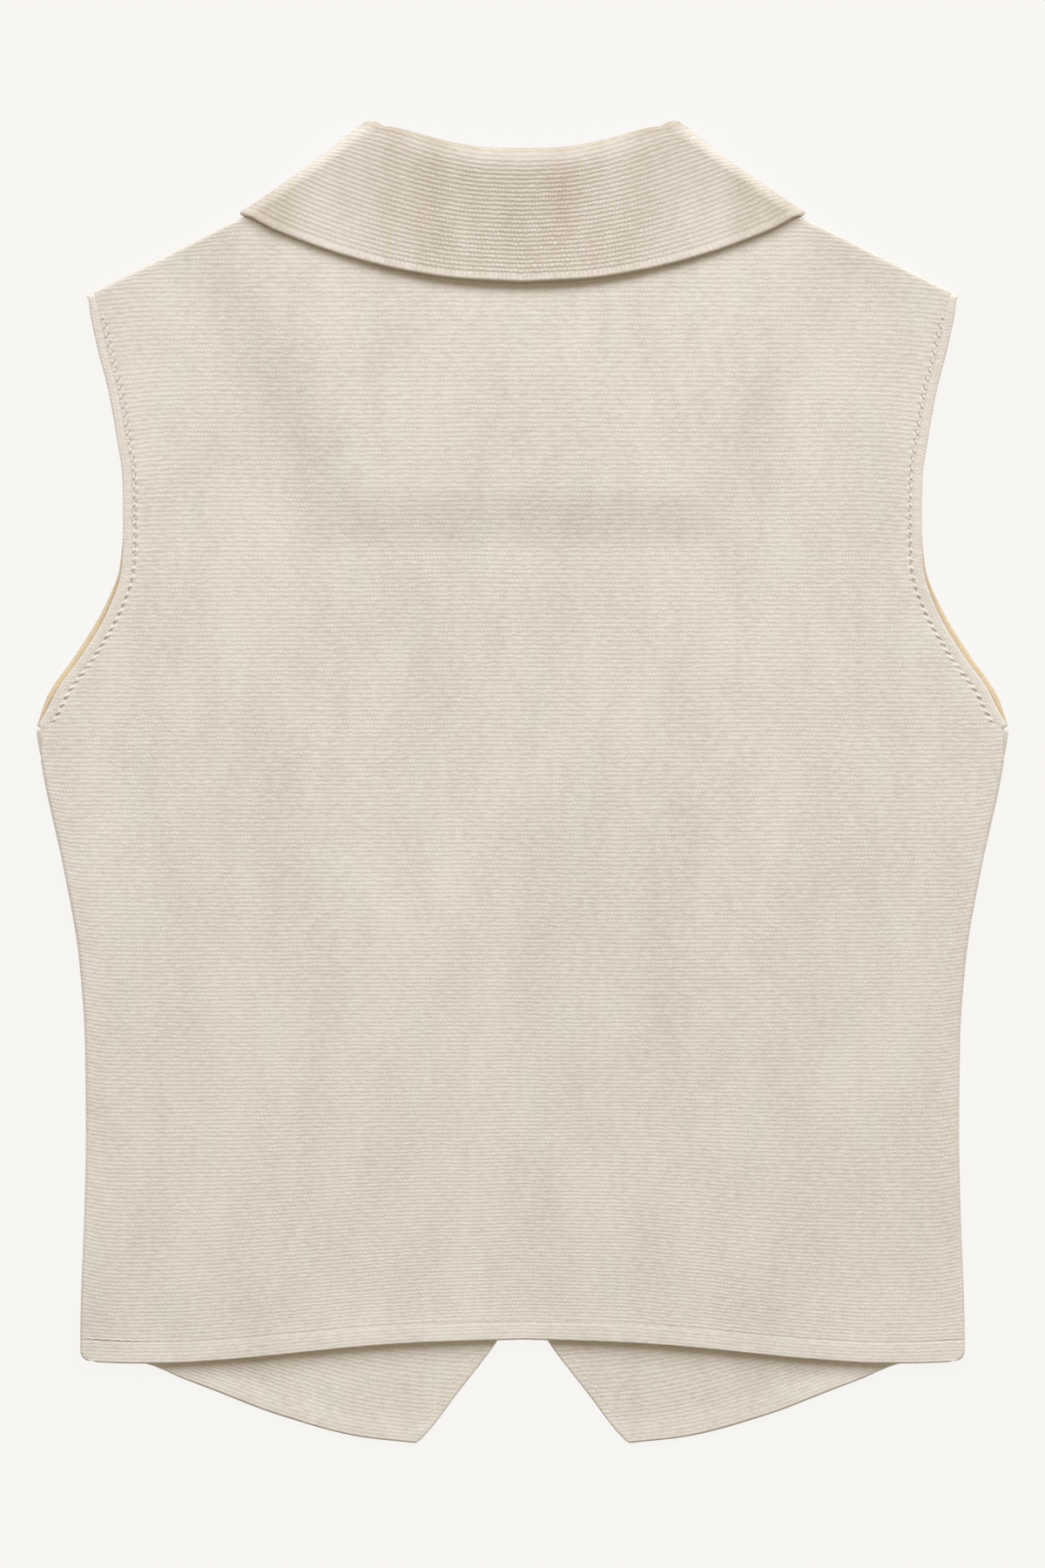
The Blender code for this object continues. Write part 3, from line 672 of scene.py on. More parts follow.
def end_shift(heights, inset):
    """How courses rise to the side seam, and droop to the armhole and shoulder tip."""
    rise = SIDE_RISE * smooth_step((heights - SIDE_RISE_FOOT[0]) / SIDE_RISE_FOOT[1])
    rise = rise * smooth_step((SIDE_RISE_TOP[0] - heights) / SIDE_RISE_TOP[1])
    droop = TIP_DROOP * smooth_step((heights - TIP_DROOP_FOOT[0]) / TIP_DROOP_FOOT[1])
    return rise * fade_in(inset, SIDE_RISE_REACH) - droop * fade_in(inset, TIP_DROOP_REACH)


def walk(face):
    """Distance along each row of a grid from its first point."""
    steps = np.linalg.norm(np.diff(face, axis=1), axis=2)
    return np.concatenate((np.zeros((len(face), 1)), np.cumsum(steps, axis=1)), axis=1)


def hem_depth(share):
    """Depth of the turned hem: a little more towards its corners."""
    return HEM_DEPTH + HEM_DEPTH_GAIN * np.sqrt(np.clip(share, 0.0, 1.0))


def back_half(heights, middle_columns):
    """Places of half of the back's courses: across, height and inset from the edge."""
    foot = BACK_HEM[0][1]
    follow = hem_blend(heights, foot, HEM_REACH)
    at_edge = heights + (back_hem(1.0) - back_hem(0.0)) * follow + end_shift(heights, 0.0)
    end = panel_edge(at_edge, True)
    start = np.where(heights > BACK_NECK[0][1], back_neck_across(heights), 0.0)
    start = np.clip(start, 0.0, end - LEAST_ROW)
    x = spread_row(start, end, middle_columns, (0.0,), COLUMN_INSETS)
    inset = end[:, None] - x
    column = heights[:, None]
    y = column + (back_hem(x / end[:, None]) - back_hem(0.0)) * follow[:, None]
    return round_corner(x, inset, at_edge), y + end_shift(column, inset), inset


def armhole_run(is_back):
    """Heights up the armhole, and the distance along its edge at each."""
    heights = np.linspace(UNDERARM[1], SHOULDER_TIP[1], 400)
    edge = armhole_edge(heights, is_back)
    steps = np.hypot(np.diff(heights), np.diff(edge))
    return heights, np.concatenate(([0.0], np.cumsum(steps)))


def armhole_holes(relief, plain, inset, heights, is_back):
    """Sink a small hole beside each of the armhole's stitches, with painted shade in it."""
    run = np.interp(heights, *armhole_run(is_back))[:, None]
    along = (run - HOLE_SHIFT) % ARMHOLE_PITCH - ARMHOLE_PITCH / 2.0
    across = (inset - HOLE_INSET) / HOLE_HALF_WIDTH
    hole = np.exp(-(along / HOLE_HALF_LENGTH) ** 2 - across ** 2)
    hole = hole * (run > HOLE_FROM) * (run < ARMHOLE_LENGTH)
    return relief + HOLE_DEPTH * hole, plain + HOLE_SHADE * hole


def inner_fade(inset, above_hem):
    """Fade to nothing at a panel's sides and hem, whose lines stay as they are."""
    return np.clip(inset / WAVER_FADE, 0.0, 1.0) * np.clip(above_hem / WAVER_FADE, 0.0, 1.0)


def hem_band(depth, above_hem):
    """How plain the knit of the turned hem is."""
    return HEM_BAND_PLAIN * smooth_step((depth - above_hem) / HEM_BAND_FADE)


def back_wall(x, y, inset, heights, course, edges, anchor):
    """One wall of the back, with its courses raised and its stitches counted from one column."""
    above_hem = heights[:, None] - BACK_HEM[0][1] + 0.0 * x
    fade = inner_fade(inset, above_hem)
    y = y + fade * (drift(x, y, FINE_WAVER, 3) + drift(x, y, BACK_WAVER, 4))
    puff = HEM_PUFF * np.exp(-(above_hem / HEM_PUFF_REACH) ** 2)
    puff = puff * smooth_step((HEM_PUFF_SIDE - np.abs(x)) / HEM_PUFF_FADE)
    z = back_top(np.abs(x), y) + fade * drift(x, y, BACK_RIPPLE, 5) + puff
    face = np.stack((x, y, z), axis=2)
    run = walk(face)
    u = (run - run[:, anchor, None] + x[:, anchor, None]) / STITCH
    v = course[:, None] + 0.0 * x
    band_depth = hem_depth(np.abs(x) / SIDE[0][1])
    relief = ridge_relief(v, COURSE_RELIEF * (1.0 + drift(x, y, RELIEF_WAVER, 6)))
    groove = (above_hem - band_depth + HEM_GROOVE_DROP) / HEM_GROOVE_WIDTH
    relief = relief + HEM_GROOVE * np.exp(-groove ** 2)
    relief, plain = armhole_holes(relief, hem_band(band_depth, above_hem), inset, heights, True)
    return knit_wall(face, BODY_WALL, relief, edges, u, v, plain, False)


def mirrored(places, sign):
    """Places of a half with those of the other half before them, of the given sign."""
    return np.concatenate((sign * places[:, :0:-1], places), axis=1)


# Below the neck one wall goes from side to side. Above it each shoulder has its own.
heights, course = course_rows(BACK_HEM[0][1], BACK_NECK[0][1])
x, y, inset = back_half(heights, PANEL_COLUMNS)
middle = x.shape[1] - 1
x, y, inset = mirrored(x, -1), mirrored(y, 1), mirrored(inset, 1)
walls = [back_wall(x, y, inset, heights, course, ("foot",), middle)]
courses_below = course[-1]
heights, course = course_rows(heights[-1], NECK_POINT[1] - TOP_CLEARANCE)
course = course + courses_below
x, y, inset = back_half(heights, SHOULDER_COLUMNS)
walls.append(back_wall(x, y, inset, heights, course, (), 0))
walls.append(back_wall(-x[:, ::-1], y[:, ::-1], inset[:, ::-1], heights, course, (), -1))
back = make_knit("back_knit", walls, [body_knit, body_inside])
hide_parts("back")


# ---------------------------------------------------------------------------
# The two fronts: the same knit, whose hems run down to a point on either side
# of the opening. They lie under the back with their faces to the table, so
# their points show their inner faces below the back's hem.
# ---------------------------------------------------------------------------

FRONT_NECK = (
    # across, height
    (4.0, 201.3), (8.0, 202.0), (15.6, 205.8), (26.4, 215.0), (38.5, 228.8), (51.0, 244.0),
    (62.0, 261.6), (71.5, 275.7),
)
FRONT_HEM = (
    # share of the width, height
    (0.0, -290.0), (0.16, -287.4), (0.41, -277.6), (0.59, -267.5), (0.7, -261.2),
    (0.78, -255.9), (0.84, -254.0), (1.0, -253.8),
)
OPENING_EDGE = (
    # height, distance from the middle
    (-290.0, 47.4), (-289.5, 46.3), (-288.6, 45.1), (-268.0, 28.6), (-245.0, 11.3),
    (-234.0, 5.4), (-228.0, 4.0), (-200.0, 4.0), (210.0, 4.0),
)
OPENING_INSETS = (
    # distance in from the opening edge
    0.0, 0.15, 0.4, 0.8, 1.5, 2.6, 4.0, 6.5, 10.0,
)
FRONT_REACH = 145.0
FACING_FROM = -222.0
# A front's point lifts off the table, most just below the back's hem. CURL_FROM and
# POINT_SIDE hold a place, and the run over which the curl or the lift comes in there.
POINT_RISE = 2.3
POINT_TOP = 2.0
POINT_FALL = 13.0
POINT_ROOT = 14.0
CURL_RISE = 0.6
CURL_REACH = 12.0
CURL_FROM = (3.0, 14.0)
POINT_SIDE = (178.0, 25.0)

front_hem = curve_through(FRONT_HEM)
front_neck_across = curve_through([(height, across) for across, height in FRONT_NECK])
opening_edge = curve_through(OPENING_EDGE)


def front_base(x, y):
    """Height of the front's outer face, which faces the table."""
    return lift(x, y) + FOLD_RADIUS - roll_height(fold_distance(x, y))


def point_rise(x, y, above_hem):
    """How far a front's point rises off the table where it comes out from under the back."""
    below_back = back_hem(np.clip(x / SIDE[0][1], 0.0, 1.0)) + POINT_TOP - y
    lifted = fade_in(below_back, POINT_FALL) * smooth_step(1.0 + below_back / POINT_ROOT)
    curled = smooth_step(1.0 - above_hem / CURL_REACH)
    curled = curled * smooth_step((below_back - CURL_FROM[0]) / CURL_FROM[1])
    shown = smooth_step((POINT_SIDE[0] - x) / POINT_SIDE[1])
    return (POINT_RISE * lifted + CURL_RISE * curled) * shown


def make_front(name, sign):
    """One front, whose courses follow its pointed hem and level out above it."""
    foot = FRONT_HEM[-1][1]
    heights, course = course_rows(foot, NECK_POINT[1] - TOP_CLEARANCE)
    follow = hem_blend(heights, foot, FRONT_REACH)
    end = panel_edge(heights + end_shift(heights, 0.0), False)
    tip = heights + (front_hem(0.0) - front_hem(1.0)) * follow
    start = np.where(heights > FRONT_NECK[0][1], front_neck_across(heights), opening_edge(tip))
    start = np.minimum(start, end - LEAST_ROW)
    x = spread_row(start, end, PANEL_COLUMNS, OPENING_INSETS, COLUMN_INSETS)
    inset = end[:, None] - x
    share = (x - start[:, None]) / (end - start)[:, None]
    y = heights[:, None] + (front_hem(share) - front_hem(1.0)) * follow[:, None]
    x = round_corner(x, inset, heights)
    y = y + end_shift(heights[:, None], inset)
    above_hem = heights[:, None] - foot + 0.0 * x
    waver = drift(x, y, FINE_WAVER, 7) + drift(x, y, FRONT_WAVER, 8)
    y = y + inner_fade(inset, above_hem) * waver
    z = front_base(x, y) + point_rise(x, y, above_hem)
    face = np.stack((sign * x, y, z), axis=2)
    u = (walk(face) + x[:, :1]) / STITCH
    v = course[:, None] + 0.0 * x
    relief = ridge_relief(v, COURSE_RELIEF * (1.0 + drift(x, y, RELIEF_WAVER, 9 + int(sign))))
    plain = hem_band(HEM_DEPTH, above_hem)
    relief, plain = armhole_holes(relief, plain, inset, heights, False)
    # The inner face has all its rows where it shows, below the back's hem.
    shown = int(np.searchsorted(heights, FACING_FROM)) // ROWS_A_COURSE * ROWS_A_COURSE
    hidden_rows = np.arange(shown, len(heights), ROWS_A_COURSE)
    inner_rows = np.concatenate((np.arange(shown), hidden_rows))
    wall = knit_wall(
        face, BODY_WALL, relief, ("foot", "top", "start"), u, v, plain, sign > 0.0,
        inner_rows, ridge_relief(v, COURSE_RELIEF),
    )
    piece = make_knit(name + "_knit", [wall], [body_knit, body_inside])
    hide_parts(name)


make_front("front_left", -1.0)
make_front("front_right", 1.0)


# ---------------------------------------------------------------------------
# The collar: one knitted strip with a firmer, deeper course, linked to the
# neck and folded over. Its fall lies on the back, goes round both shoulders
# and runs down under the fronts to its two points. Its edge is bound off.
# ---------------------------------------------------------------------------

# The collar's yarn, and the colour of its painted shade between the stitches, darker than the
# body's.
COLLAR_CREAM = (0.77, 0.714, 0.628, 1.0)
COLLAR_SHADE = (0.38, 0.31, 0.225, 1.0)
COLLAR_WALL = 2.0
COLLAR_TURN_RADIUS = 6.4
STAND_MIDDLE = 5.6
STAND_SPLIT = 0.18
COLLAR_SEAM_GAP = 0.45
COLLAR_COURSES = 28
ROLL_COURSES = 5
STAND_COURSES = 12
BAND_COURSES = 1.3
BAND_RISE = 0.18
COLLAR_RELIEF = 0.14
COLLAR_WAVER = (0.2, 24.0)
EDGE_REACH = 5.0
FOLD_REACH = 7.2
REACH_FROM = 8.0
REACH_FADE = 14.0
MIDDLE_RISE = 1.2
MIDDLE_RISE_WIDTH = 40.0
EDGE_HOVER = 1.8
EDGE_HOVER_WIDTH = 70.0
FALL_STEEP = 0.25
SLANT = 0.62
SLANT_FROM = 15.0
# The stitches stand out most in the middle of the fall, and less at its ends and near its fold. The
# painted shade between them changes with them, standing in for the light and shade on the collar's
# slopes.
STITCHES_WIDTH = 62.0
STITCHES_TOP = (-0.05, 0.2)
ENDS_PLAIN = 1.15
BAND_PLAIN = 0.9
BAND_FADE = 0.25
SECTION_STEPS = 10
TURN_SECTION_STEPS = 4
END_SECTIONS = (0.0, 0.02, 0.05, 0.1, 0.2)
COLLAR = (
    # fold x, fold y, edge x, edge y, seam x, tuck, turn
    (0.0, 280.0, 0.0, 221.0, 0.0, 0.0, 0),
    (14.0, 280.3, 28.0, 222.5, 16.0, 0.0, 0),
    (28.0, 282.2, 54.0, 226.5, 32.0, 0.3, 0),
    (41.0, 285.4, 78.0, 232.6, 46.0, 1.0, 0),
    (51.5, 288.6, 99.0, 239.8, 57.5, 1.6, 0),
    (57.5, 290.0, 112.0, 245.2, 65.5, 2.0, 0),
    (61.0, 290.3, 119.4, 249.3, 71.5, 2.2, 0),
    (61.3, 289.6, 119.4, 249.3, 71.5, 2.4, 30),
    (61.7, 288.7, 119.4, 249.3, 71.5, 2.5, 60),
    (62.0, 287.9, 119.4, 249.3, 71.5, 2.6, 90),
    (61.8, 287.2, 119.4, 249.3, 71.5, 3.0, 120),
    (61.3, 286.7, 119.4, 249.3, 71.5, 3.6, 150),
    (60.8, 286.4, 119.4, 249.3, 71.5, 4.2, 180),
    (54.0, 270.0, 110.0, 229.0, 63.0, 2.0, 180),
    (44.0, 252.0, 99.0, 207.0, 52.0, 0.5, 180),
    (33.0, 236.0, 87.0, 183.0, 39.5, 0.0, 180),
    (22.0, 222.0, 77.0, 162.0, 27.0, 0.0, 180),
    (12.5, 211.5, 69.0, 147.0, 16.5, 0.0, 180),
    (6.0, 206.0, 64.0, 139.5, 9.0, 0.0, 180),
)
TURN_FIRST, TURN_LAST = 6, 12
BACK_OF_TURN = 90.0

front_neck = curve_through(FRONT_NECK)
collar_curves = [
    curve_through([(number, value) for number, value in enumerate(column)])
    for column in zip(*COLLAR)
]


def collar_seam(neck, x, turn, at_turn):
    """Where the collar's inner face starts, just clear of a neckline."""
    step = 0.5
    grade = float(neck(x + step) - neck(x - step)) / (2.0 * step)
    off = np.array((-grade, 1.0)) / math.hypot(grade, 1.0) * COLLAR_SEAM_GAP
    seam = np.array((x, float(neck(x)))) + off
    angle = math.radians(turn)
    roll = FOLD_RADIUS - BODY_WALL
    if at_turn:
        flat = seam - shoulder_out * (FOLD_RADIUS - roll * math.sin(angle))
        height = COLLAR_LIFT + FOLD_RADIUS + roll * math.cos(angle)
    elif turn < BACK_OF_TURN:
        flat, height = seam, float(back_top(x, neck(x))) - BODY_WALL
    else:
        flat, height = seam, float(front_base(x, neck(x))) + BODY_WALL
    return np.array((flat[0], flat[1], height))


def turn_reach(down):
    """How far the collar reaches out where it goes over the shoulder: more near its fold."""
    past = max(down - REACH_FROM, 0.0)
    return EDGE_REACH + (FOLD_REACH - EDGE_REACH) * math.exp(-past / REACH_FADE)


def settling(share):
    """How far the fall has come down from its fold, before scaling to 1 at its edge."""
    return 1.0 - (1.0 + share / FALL_STEEP) * math.exp(-share / FALL_STEEP)


def collar_section(number):
    """One section of the collar: up the stand, over the fold and down the fall."""
    fold_x, fold_y, edge_x, edge_y, seam_x, tuck, turn = (float(c(number)) for c in collar_curves)
    at_turn = TURN_FIRST <= number <= TURN_LAST
    fold, edge = np.array((fold_x, fold_y, 0.0)), np.array((edge_x, edge_y, 0.0))
    length = np.linalg.norm(edge - fold)
    down = (edge - fold) / length
    angle = math.radians(turn)
    up = np.array((0.0, 0.0, 1.0))
    outward = np.array((-down[1], down[0], 0.0))
    carrier = (edge_x, edge_y) if number < TURN_FIRST else COLLAR[TURN_FIRST][2:4]
    hover = 0.0
    fold_radius = COLLAR_TURN_RADIUS
    if turn < BACK_OF_TURN:
        hover = EDGE_HOVER * math.exp(-(edge_x / EDGE_HOVER_WIDTH) ** 2)
        fold_radius += MIDDLE_RISE * math.exp(-(fold_x / MIDDLE_RISE_WIDTH) ** 2)
    edge_radius = (float(back_top(*carrier)) + SEAM_GAP + COLLAR_WALL + hover) / 2.0
    stand_top = fold - outward * tuck + up * (STAND_MIDDLE + STAND_SPLIT * math.cos(angle))

    def on_turn(radius, distance):
        reach = turn_reach(distance) * math.sin(angle)
        slide = SLANT * reach * min(distance / SLANT_FROM, 1.0)
        return fold + outward * reach + down * slide + up * radius * (1.0 + math.cos(angle))

    fall_top = on_turn(fold_radius, 0.0)
    roll = np.linalg.norm(fall_top - stand_top) / 2.0
    middle = (fall_top + stand_top) / 2.0
    bends = np.linspace(-90.0, 90.0, ROLL_COURSES * ROWS_A_COURSE + 1)
    turned = []
    for bend in np.radians(bends):
        off = (fall_top - stand_top) / 2.0 * math.sin(bend)
        turned.append(middle + off + down * roll * (1.0 - math.cos(bend)))
    on_back = turn < BACK_OF_TURN or (at_turn and turn == BACK_OF_TURN)
    neck = back_neck if on_back else front_neck
    seam = collar_seam(neck, seam_x, turn, at_turn)
    shares = np.linspace(0.0, 1.0, STAND_COURSES * ROWS_A_COURSE + 1)[:-1]
    stand = [seam * (1.0 - share) + turned[0] * share for share in shares]
    fall = []
    for share in np.linspace(0.0, 1.0, COLLAR_COURSES * ROWS_A_COURSE + 1)[1:]:
        drop = settling(share) / settling(1.0)
        radius = fold_radius + (edge_radius - fold_radius) * drop
        distance = roll + (length - roll) * share
        fall.append(on_turn(radius, distance) + down * distance)
    return np.array(stand + turned + fall)


# Sections of one half, closer where it turns and beside its front end, and their mirror.
last = len(COLLAR) - 1.0
numbers = [last - short for short in END_SECTIONS]
for number, (here, there) in enumerate(zip(COLLAR, COLLAR[1:])):
    steps = SECTION_STEPS if here[6] == there[6] else TURN_SECTION_STEPS
    numbers += [number + k / steps for k in range(steps)]
right = np.stack([collar_section(number) for number in sorted(numbers)], axis=1)
left = right[:, :0:-1] * np.array((-1.0, 1.0, 1.0))
face = np.concatenate((left, right), axis=1)

# Stitches are counted from the middle, halfway between the fold's and the edge's lengths.
course = (np.arange(face.shape[0]) / ROWS_A_COURSE)[:, None] + np.zeros(face.shape[1])[None, :]
fold_row = (STAND_COURSES + ROLL_COURSES) * ROWS_A_COURSE
run = walk(face[[fold_row, -1]])
along = (run - run[:, face.shape[1] // 2, None]).sum(axis=0) / 2.0
u = np.repeat(along[None, :] / STITCH, face.shape[0], axis=0)
band = np.clip((course - course[-1] + BAND_COURSES) / BAND_COURSES, 0.0, 1.0)
depth = COLLAR_RELIEF * (1.0 + drift(face[..., 0], face[..., 1], COLLAR_WAVER, 12))
bound_edge = -BAND_RISE * np.sin(np.pi * band) ** 0.5
relief = np.where(band > 0.0, bound_edge, ridge_relief(course, depth))
down_fall = (course - STAND_COURSES - ROLL_COURSES) / COLLAR_COURSES
middle = np.exp(-(face[..., 0] / STITCHES_WIDTH) ** 2)
plainness_and_painted_shade = 1.0 - middle * smooth_step((down_fall - STITCHES_TOP[0]) / STITCHES_TOP[1])
plain = np.maximum(ENDS_PLAIN * plainness_and_painted_shade, BAND_PLAIN * np.minimum(band / BAND_FADE, 1.0))
course = np.minimum(course, course[-1] - BAND_COURSES)
collar_knit = knit_finish(
    "collar_knit", COLLAR_CREAM, COLLAR_SHADE, bump=0.12, gap_shade=0.62, row_share=0.4,
    mottle=0.3,
)
wall = knit_wall(face, COLLAR_WALL, relief, ("foot", "top", "start", "end"), u, course, plain, True)
collar = make_knit("collar_knit", [wall], [collar_knit, body_inside])
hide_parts("collar")


# ---------------------------------------------------------------------------
# The armhole bindings: a narrow strip of the same yarn round each armhole,
# turned over the edge and held by a cover stitch. Each goes over the shoulder
# and under the arm, and shows its inner face beside the back, painted warmer
# and darker as the shade it lies in.
# ---------------------------------------------------------------------------

BINDING_WALL = 2.2
BINDING_WIDTH = 5.0
BINDING_CLEARANCE = 1.3
BINDING_LEVEL_FROM = 32.0
BINDING_LEVELS = (26.0, 207.0)
BINDING_SHOULDER_SPREAD = 4.4
BINDING_LEAST_WIDTH = 0.15
BINDING_STEP = 1.1
BINDING_SIDES = 24
TURN_STEPS = 15
PUCKER = 0.16
PUCKER_LENGTH = 4.0
BINDING_COURSES = 3.0
BINDING_SQUARENESS = (0.7, 0.55)
BINDING_CREAM = (0.74, 0.693, 0.612, 1.0)
# The inner face: the same cream yarn in painted warm shade.
INNER_CREAM_IN_PAINTED_SHADE = (0.7, 0.58, 0.4, 1.0)
INNER_SHADE = (0.5, 0.38, 0.24, 1.0)


def ring_faces(count, sides, closed=False):
    """Quads from each ring of points to the next, and from the last to the first if closed."""
    rings = np.arange(count * sides).reshape(count, sides)
    if closed:
        rings = np.concatenate((rings, rings[:1]))
    ahead = np.roll(rings, -1, axis=1)
    return np.stack((rings[:-1], ahead[:-1], ahead[1:], rings[1:]), axis=2).reshape(-1, 4)


def binding_span(height, is_back):
    """The binding's width, measured level across the garment."""
    step, height = 0.5, max(height, BINDING_LEVEL_FROM)
    spread = armhole_edge(height + step, is_back) - armhole_edge(height - step, is_back)
    return BINDING_WIDTH * math.hypot(1.0, float(spread) / (2.0 * step))


def binding_frame(height, is_back):
    """Outer and inner middle points of the binding's section, and its way up."""
    outer = float(armhole_edge(height, is_back))
    tuck = min((height - BINDING_FOOT) / BINDING_TAPER, 1.0)
    inner = outer - binding_span(height, is_back) * min(1.0, tuck + BINDING_LEAST_WIDTH)
    places = []
    for x in (outer, inner):
        if is_back:
            level = float(back_top(np.array(x), height)) - BINDING_WALL / 2.0
        else:
            level = float(lift(np.array(x), height)) + BINDING_WALL / 2.0
        places.append(np.array((x, height, level)))
    return places[0], places[1], np.array((0.0, 0.0, 1.0))


def binding_turn(corner, along, out, spread, angle):
    """The binding's section where it goes over a folded edge."""
    bend = math.radians(angle)
    up = np.array((out[0] * math.sin(bend), out[1] * math.sin(bend), math.cos(bend)))
    start = np.array(corner) - np.array(out) * FOLD_RADIUS
    ends = []
    for place in (start, start + np.array(along) * spread):
        level = float(lift(np.array(place[0]), place[1])) + FOLD_RADIUS
        axis = np.array((place[0], place[1], level))
        ends.append(axis + up * (FOLD_RADIUS - BINDING_WALL / 2.0))
    return ends[0], ends[1], up


def binding_frames():
    """The binding's frames: up the back, over the shoulder, down the front, under the arm."""
    heights = np.arange(*BINDING_LEVELS, BINDING_STEP)
    down_side = np.array((float(side_width(BINDING_FOOT)), BINDING_FOOT)) - np.array(UNDERARM)
    down_side = down_side / np.hypot(*down_side)
    side_out = (-down_side[1], down_side[0])
    turns = np.linspace(0.0, 180.0, TURN_STEPS)
    frames = [binding_frame(height, True) for height in heights]
    spread = BINDING_SHOULDER_SPREAD
    for turn in turns:
        frames.append(binding_turn(SHOULDER_TIP, -shoulder_way, shoulder_out, spread, turn))
    frames += [binding_frame(height, False) for height in heights[::-1]]
    for turn in turns[::-1]:
        share = 1.0 - math.sin(math.radians(turn))
        foot = BINDING_FOOT + BINDING_CLEARANCE
        foot += BINDING_TAPER * FOLD_RADIUS * share / (binding_span(0.0, False) + SEAM_GAP)
        frames.append(binding_turn(UNDERARM, down_side, side_out, UNDERARM[1] - foot, turn))
    return frames, len(heights)


def make_binding(side, sign):
    """One armhole binding as a rounded, slightly puckered band."""
    frames, count = binding_frames()
    angles = np.linspace(0.0, 2.0 * math.pi, BINDING_SIDES, endpoint=False)
    across = 0.5 - 0.5 * np.sign(np.cos(angles)) * np.abs(np.cos(angles)) ** BINDING_SQUARENESS[0]
    rise = np.sign(np.sin(angles)) * np.abs(np.sin(angles)) ** BINDING_SQUARENESS[1]
    rings, numbers = [], []
    distance, last = 0.0, None
    for number, (outer, inner, up) in enumerate(frames):
        face_up = number < count + TURN_STEPS or number >= 2 * count + TURN_STEPS
        middle = (outer + inner) / 2.0
        if last is not None:
            distance += np.linalg.norm(middle - last)
        last = middle
        if not face_up:
            up = -up
        wave = 0.5 + 0.5 * math.cos(2.0 * math.pi * distance / PUCKER_LENGTH)
        pucker = 1.0 - PUCKER * wave * across
        half = up * BINDING_WALL / 2.0
        ring = outer + (inner - outer) * across[:, None] + half * (rise * pucker)[:, None]
        rings.append(ring * np.array((sign, 1.0, 1.0)))
        outside = 0.0 if face_up else 1.0
        numbers += [(distance / STITCH, a * BINDING_COURSES, outside) for a in across]
    faces = ring_faces(len(rings), BINDING_SIDES, True)[:, ::-int(sign)].tolist()
    # Faces on the binding's inner face take the inside finish, painted in warm shade.
    inner_faces_in_painted_shade = (rise + np.roll(rise, -1) < 0.0).astype(int)
    name = "armhole_binding_" + side
    materials = [binding_knit, binding_inside_painted_shade]
    piece = make_piece(name + "_knit", np.concatenate(rings), faces, materials, numbers)
    piece.data.polygons.foreach_set("material_index", np.tile(inner_faces_in_painted_shade, len(rings)))
    piece.data.shade_smooth()
    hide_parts(name)


binding_knit = knit_finish(
    "binding_knit", BINDING_CREAM, CREAM_SHADE, bump=0.1, gap_shade=0.15, row_share=0.2,
)
binding_inside_painted_shade = knit_finish(
    "binding_inside_painted_shade", INNER_CREAM_IN_PAINTED_SHADE, INNER_SHADE, bump=0.18, gap_shade=0.4, row_share=0.2,
)
make_binding("left", -1.0)
make_binding("right", 1.0)


# ---------------------------------------------------------------------------
# The sewing: a chain stitch beside each armhole binding, a looped cover stitch
# above the hem and tacks down the turned opening edges, all in cream thread.
# ---------------------------------------------------------------------------

THREAD_CREAM = (0.75, 0.705, 0.62, 1.0)
THREAD_SIDES = 6
STITCH_LENGTH = 2.3
STITCH_THICKNESS = 0.95
STITCH_FROM = 5.0
STITCH_LEAN = 0.5
STITCH_SPREAD = 0.12
STITCH_RHYTHM = 2.4
STITCH_STEPS = 7
STITCH_END = 0.06
STITCH_RAISE = 0.05
FRONT_STITCH_RAISE = 0.1
STITCH_END_DROP = 0.35
HEM_LOOP = 4.4
HEM_LOOP_DEPTH = 0.4
HEM_LOOP_STEPS = 8
HEM_THREAD = 0.5
HEM_THREAD_ABOVE = 0.1
HEM_THREAD_SUNK = 0.32
HEM_LOOP_RAISE = 0.12
HEM_THREAD_SHORT = 3.0
TACK_HEIGHTS = (-284.0, -240.0, 3.1)
TACK_INSET = 4.4
TACK_LENGTH = 1.7
TACK_THICKNESS = 0.6
TACK_ABOVE_HEM = 20.0


def thread_finish():
    """Twisted cotton: slanting plies along each stitch."""
    material, tree, shader = new_finish("sewing_thread", 0.8, 0.2)
    place = tree.nodes.new("ShaderNodeTexCoord").outputs["Object"]
    plies = tie(tree, "ShaderNodeTexWave", place, bands_direction="DIAGONAL")
    plies.inputs["Scale"].default_value = 900.0
    raise_surface(tree, shader, plies.outputs["Fac"], 0.05)
    yarn = mix_colours(tree, noise_on(tree, place, 1500.0), THREAD_CREAM, CREAM)
    tree.links.new(yarn, shader.inputs["Base Color"])
    return material


def thread_tube(path, ups, radii, start):
    """Points and faces of one closed thread along a path."""
    path, ups = np.array(path, float), np.array(ups, float)
    way = np.gradient(path, axis=0)
    way = way / np.linalg.norm(way, axis=1, keepdims=True)
    side = np.cross(way, ups)
    side = side / np.linalg.norm(side, axis=1, keepdims=True)
    ups = np.cross(side, way)
    turns = np.linspace(0.0, 2.0 * math.pi, THREAD_SIDES, endpoint=False)[None, :, None]
    round_way = np.cos(turns) * side[:, None] + np.sin(turns) * ups[:, None]
    rings = path[:, None] + np.asarray(radii)[:, None, None] * round_way
    points = rings.reshape(-1, 3)
    faces = (start + ring_faces(len(path), THREAD_SIDES)).tolist()
    faces.append(list(range(start, start + THREAD_SIDES))[::-1])
    faces.append(list(range(start + len(points) - THREAD_SIDES, start + len(points))))
    return points, faces


def make_sewing(name, threads, material):
    """One piece from many threads, each a path with its ups and radii."""
    points, faces, start = [], [], 0
    for path, ups, radii in threads:
        ring_points, ring_faces = thread_tube(path, ups, radii, start)
        points.append(ring_points)
        faces += ring_faces
        start += len(ring_points)
    piece = make_piece(name, np.concatenate(points), faces, [material])
    piece.data.shade_smooth()


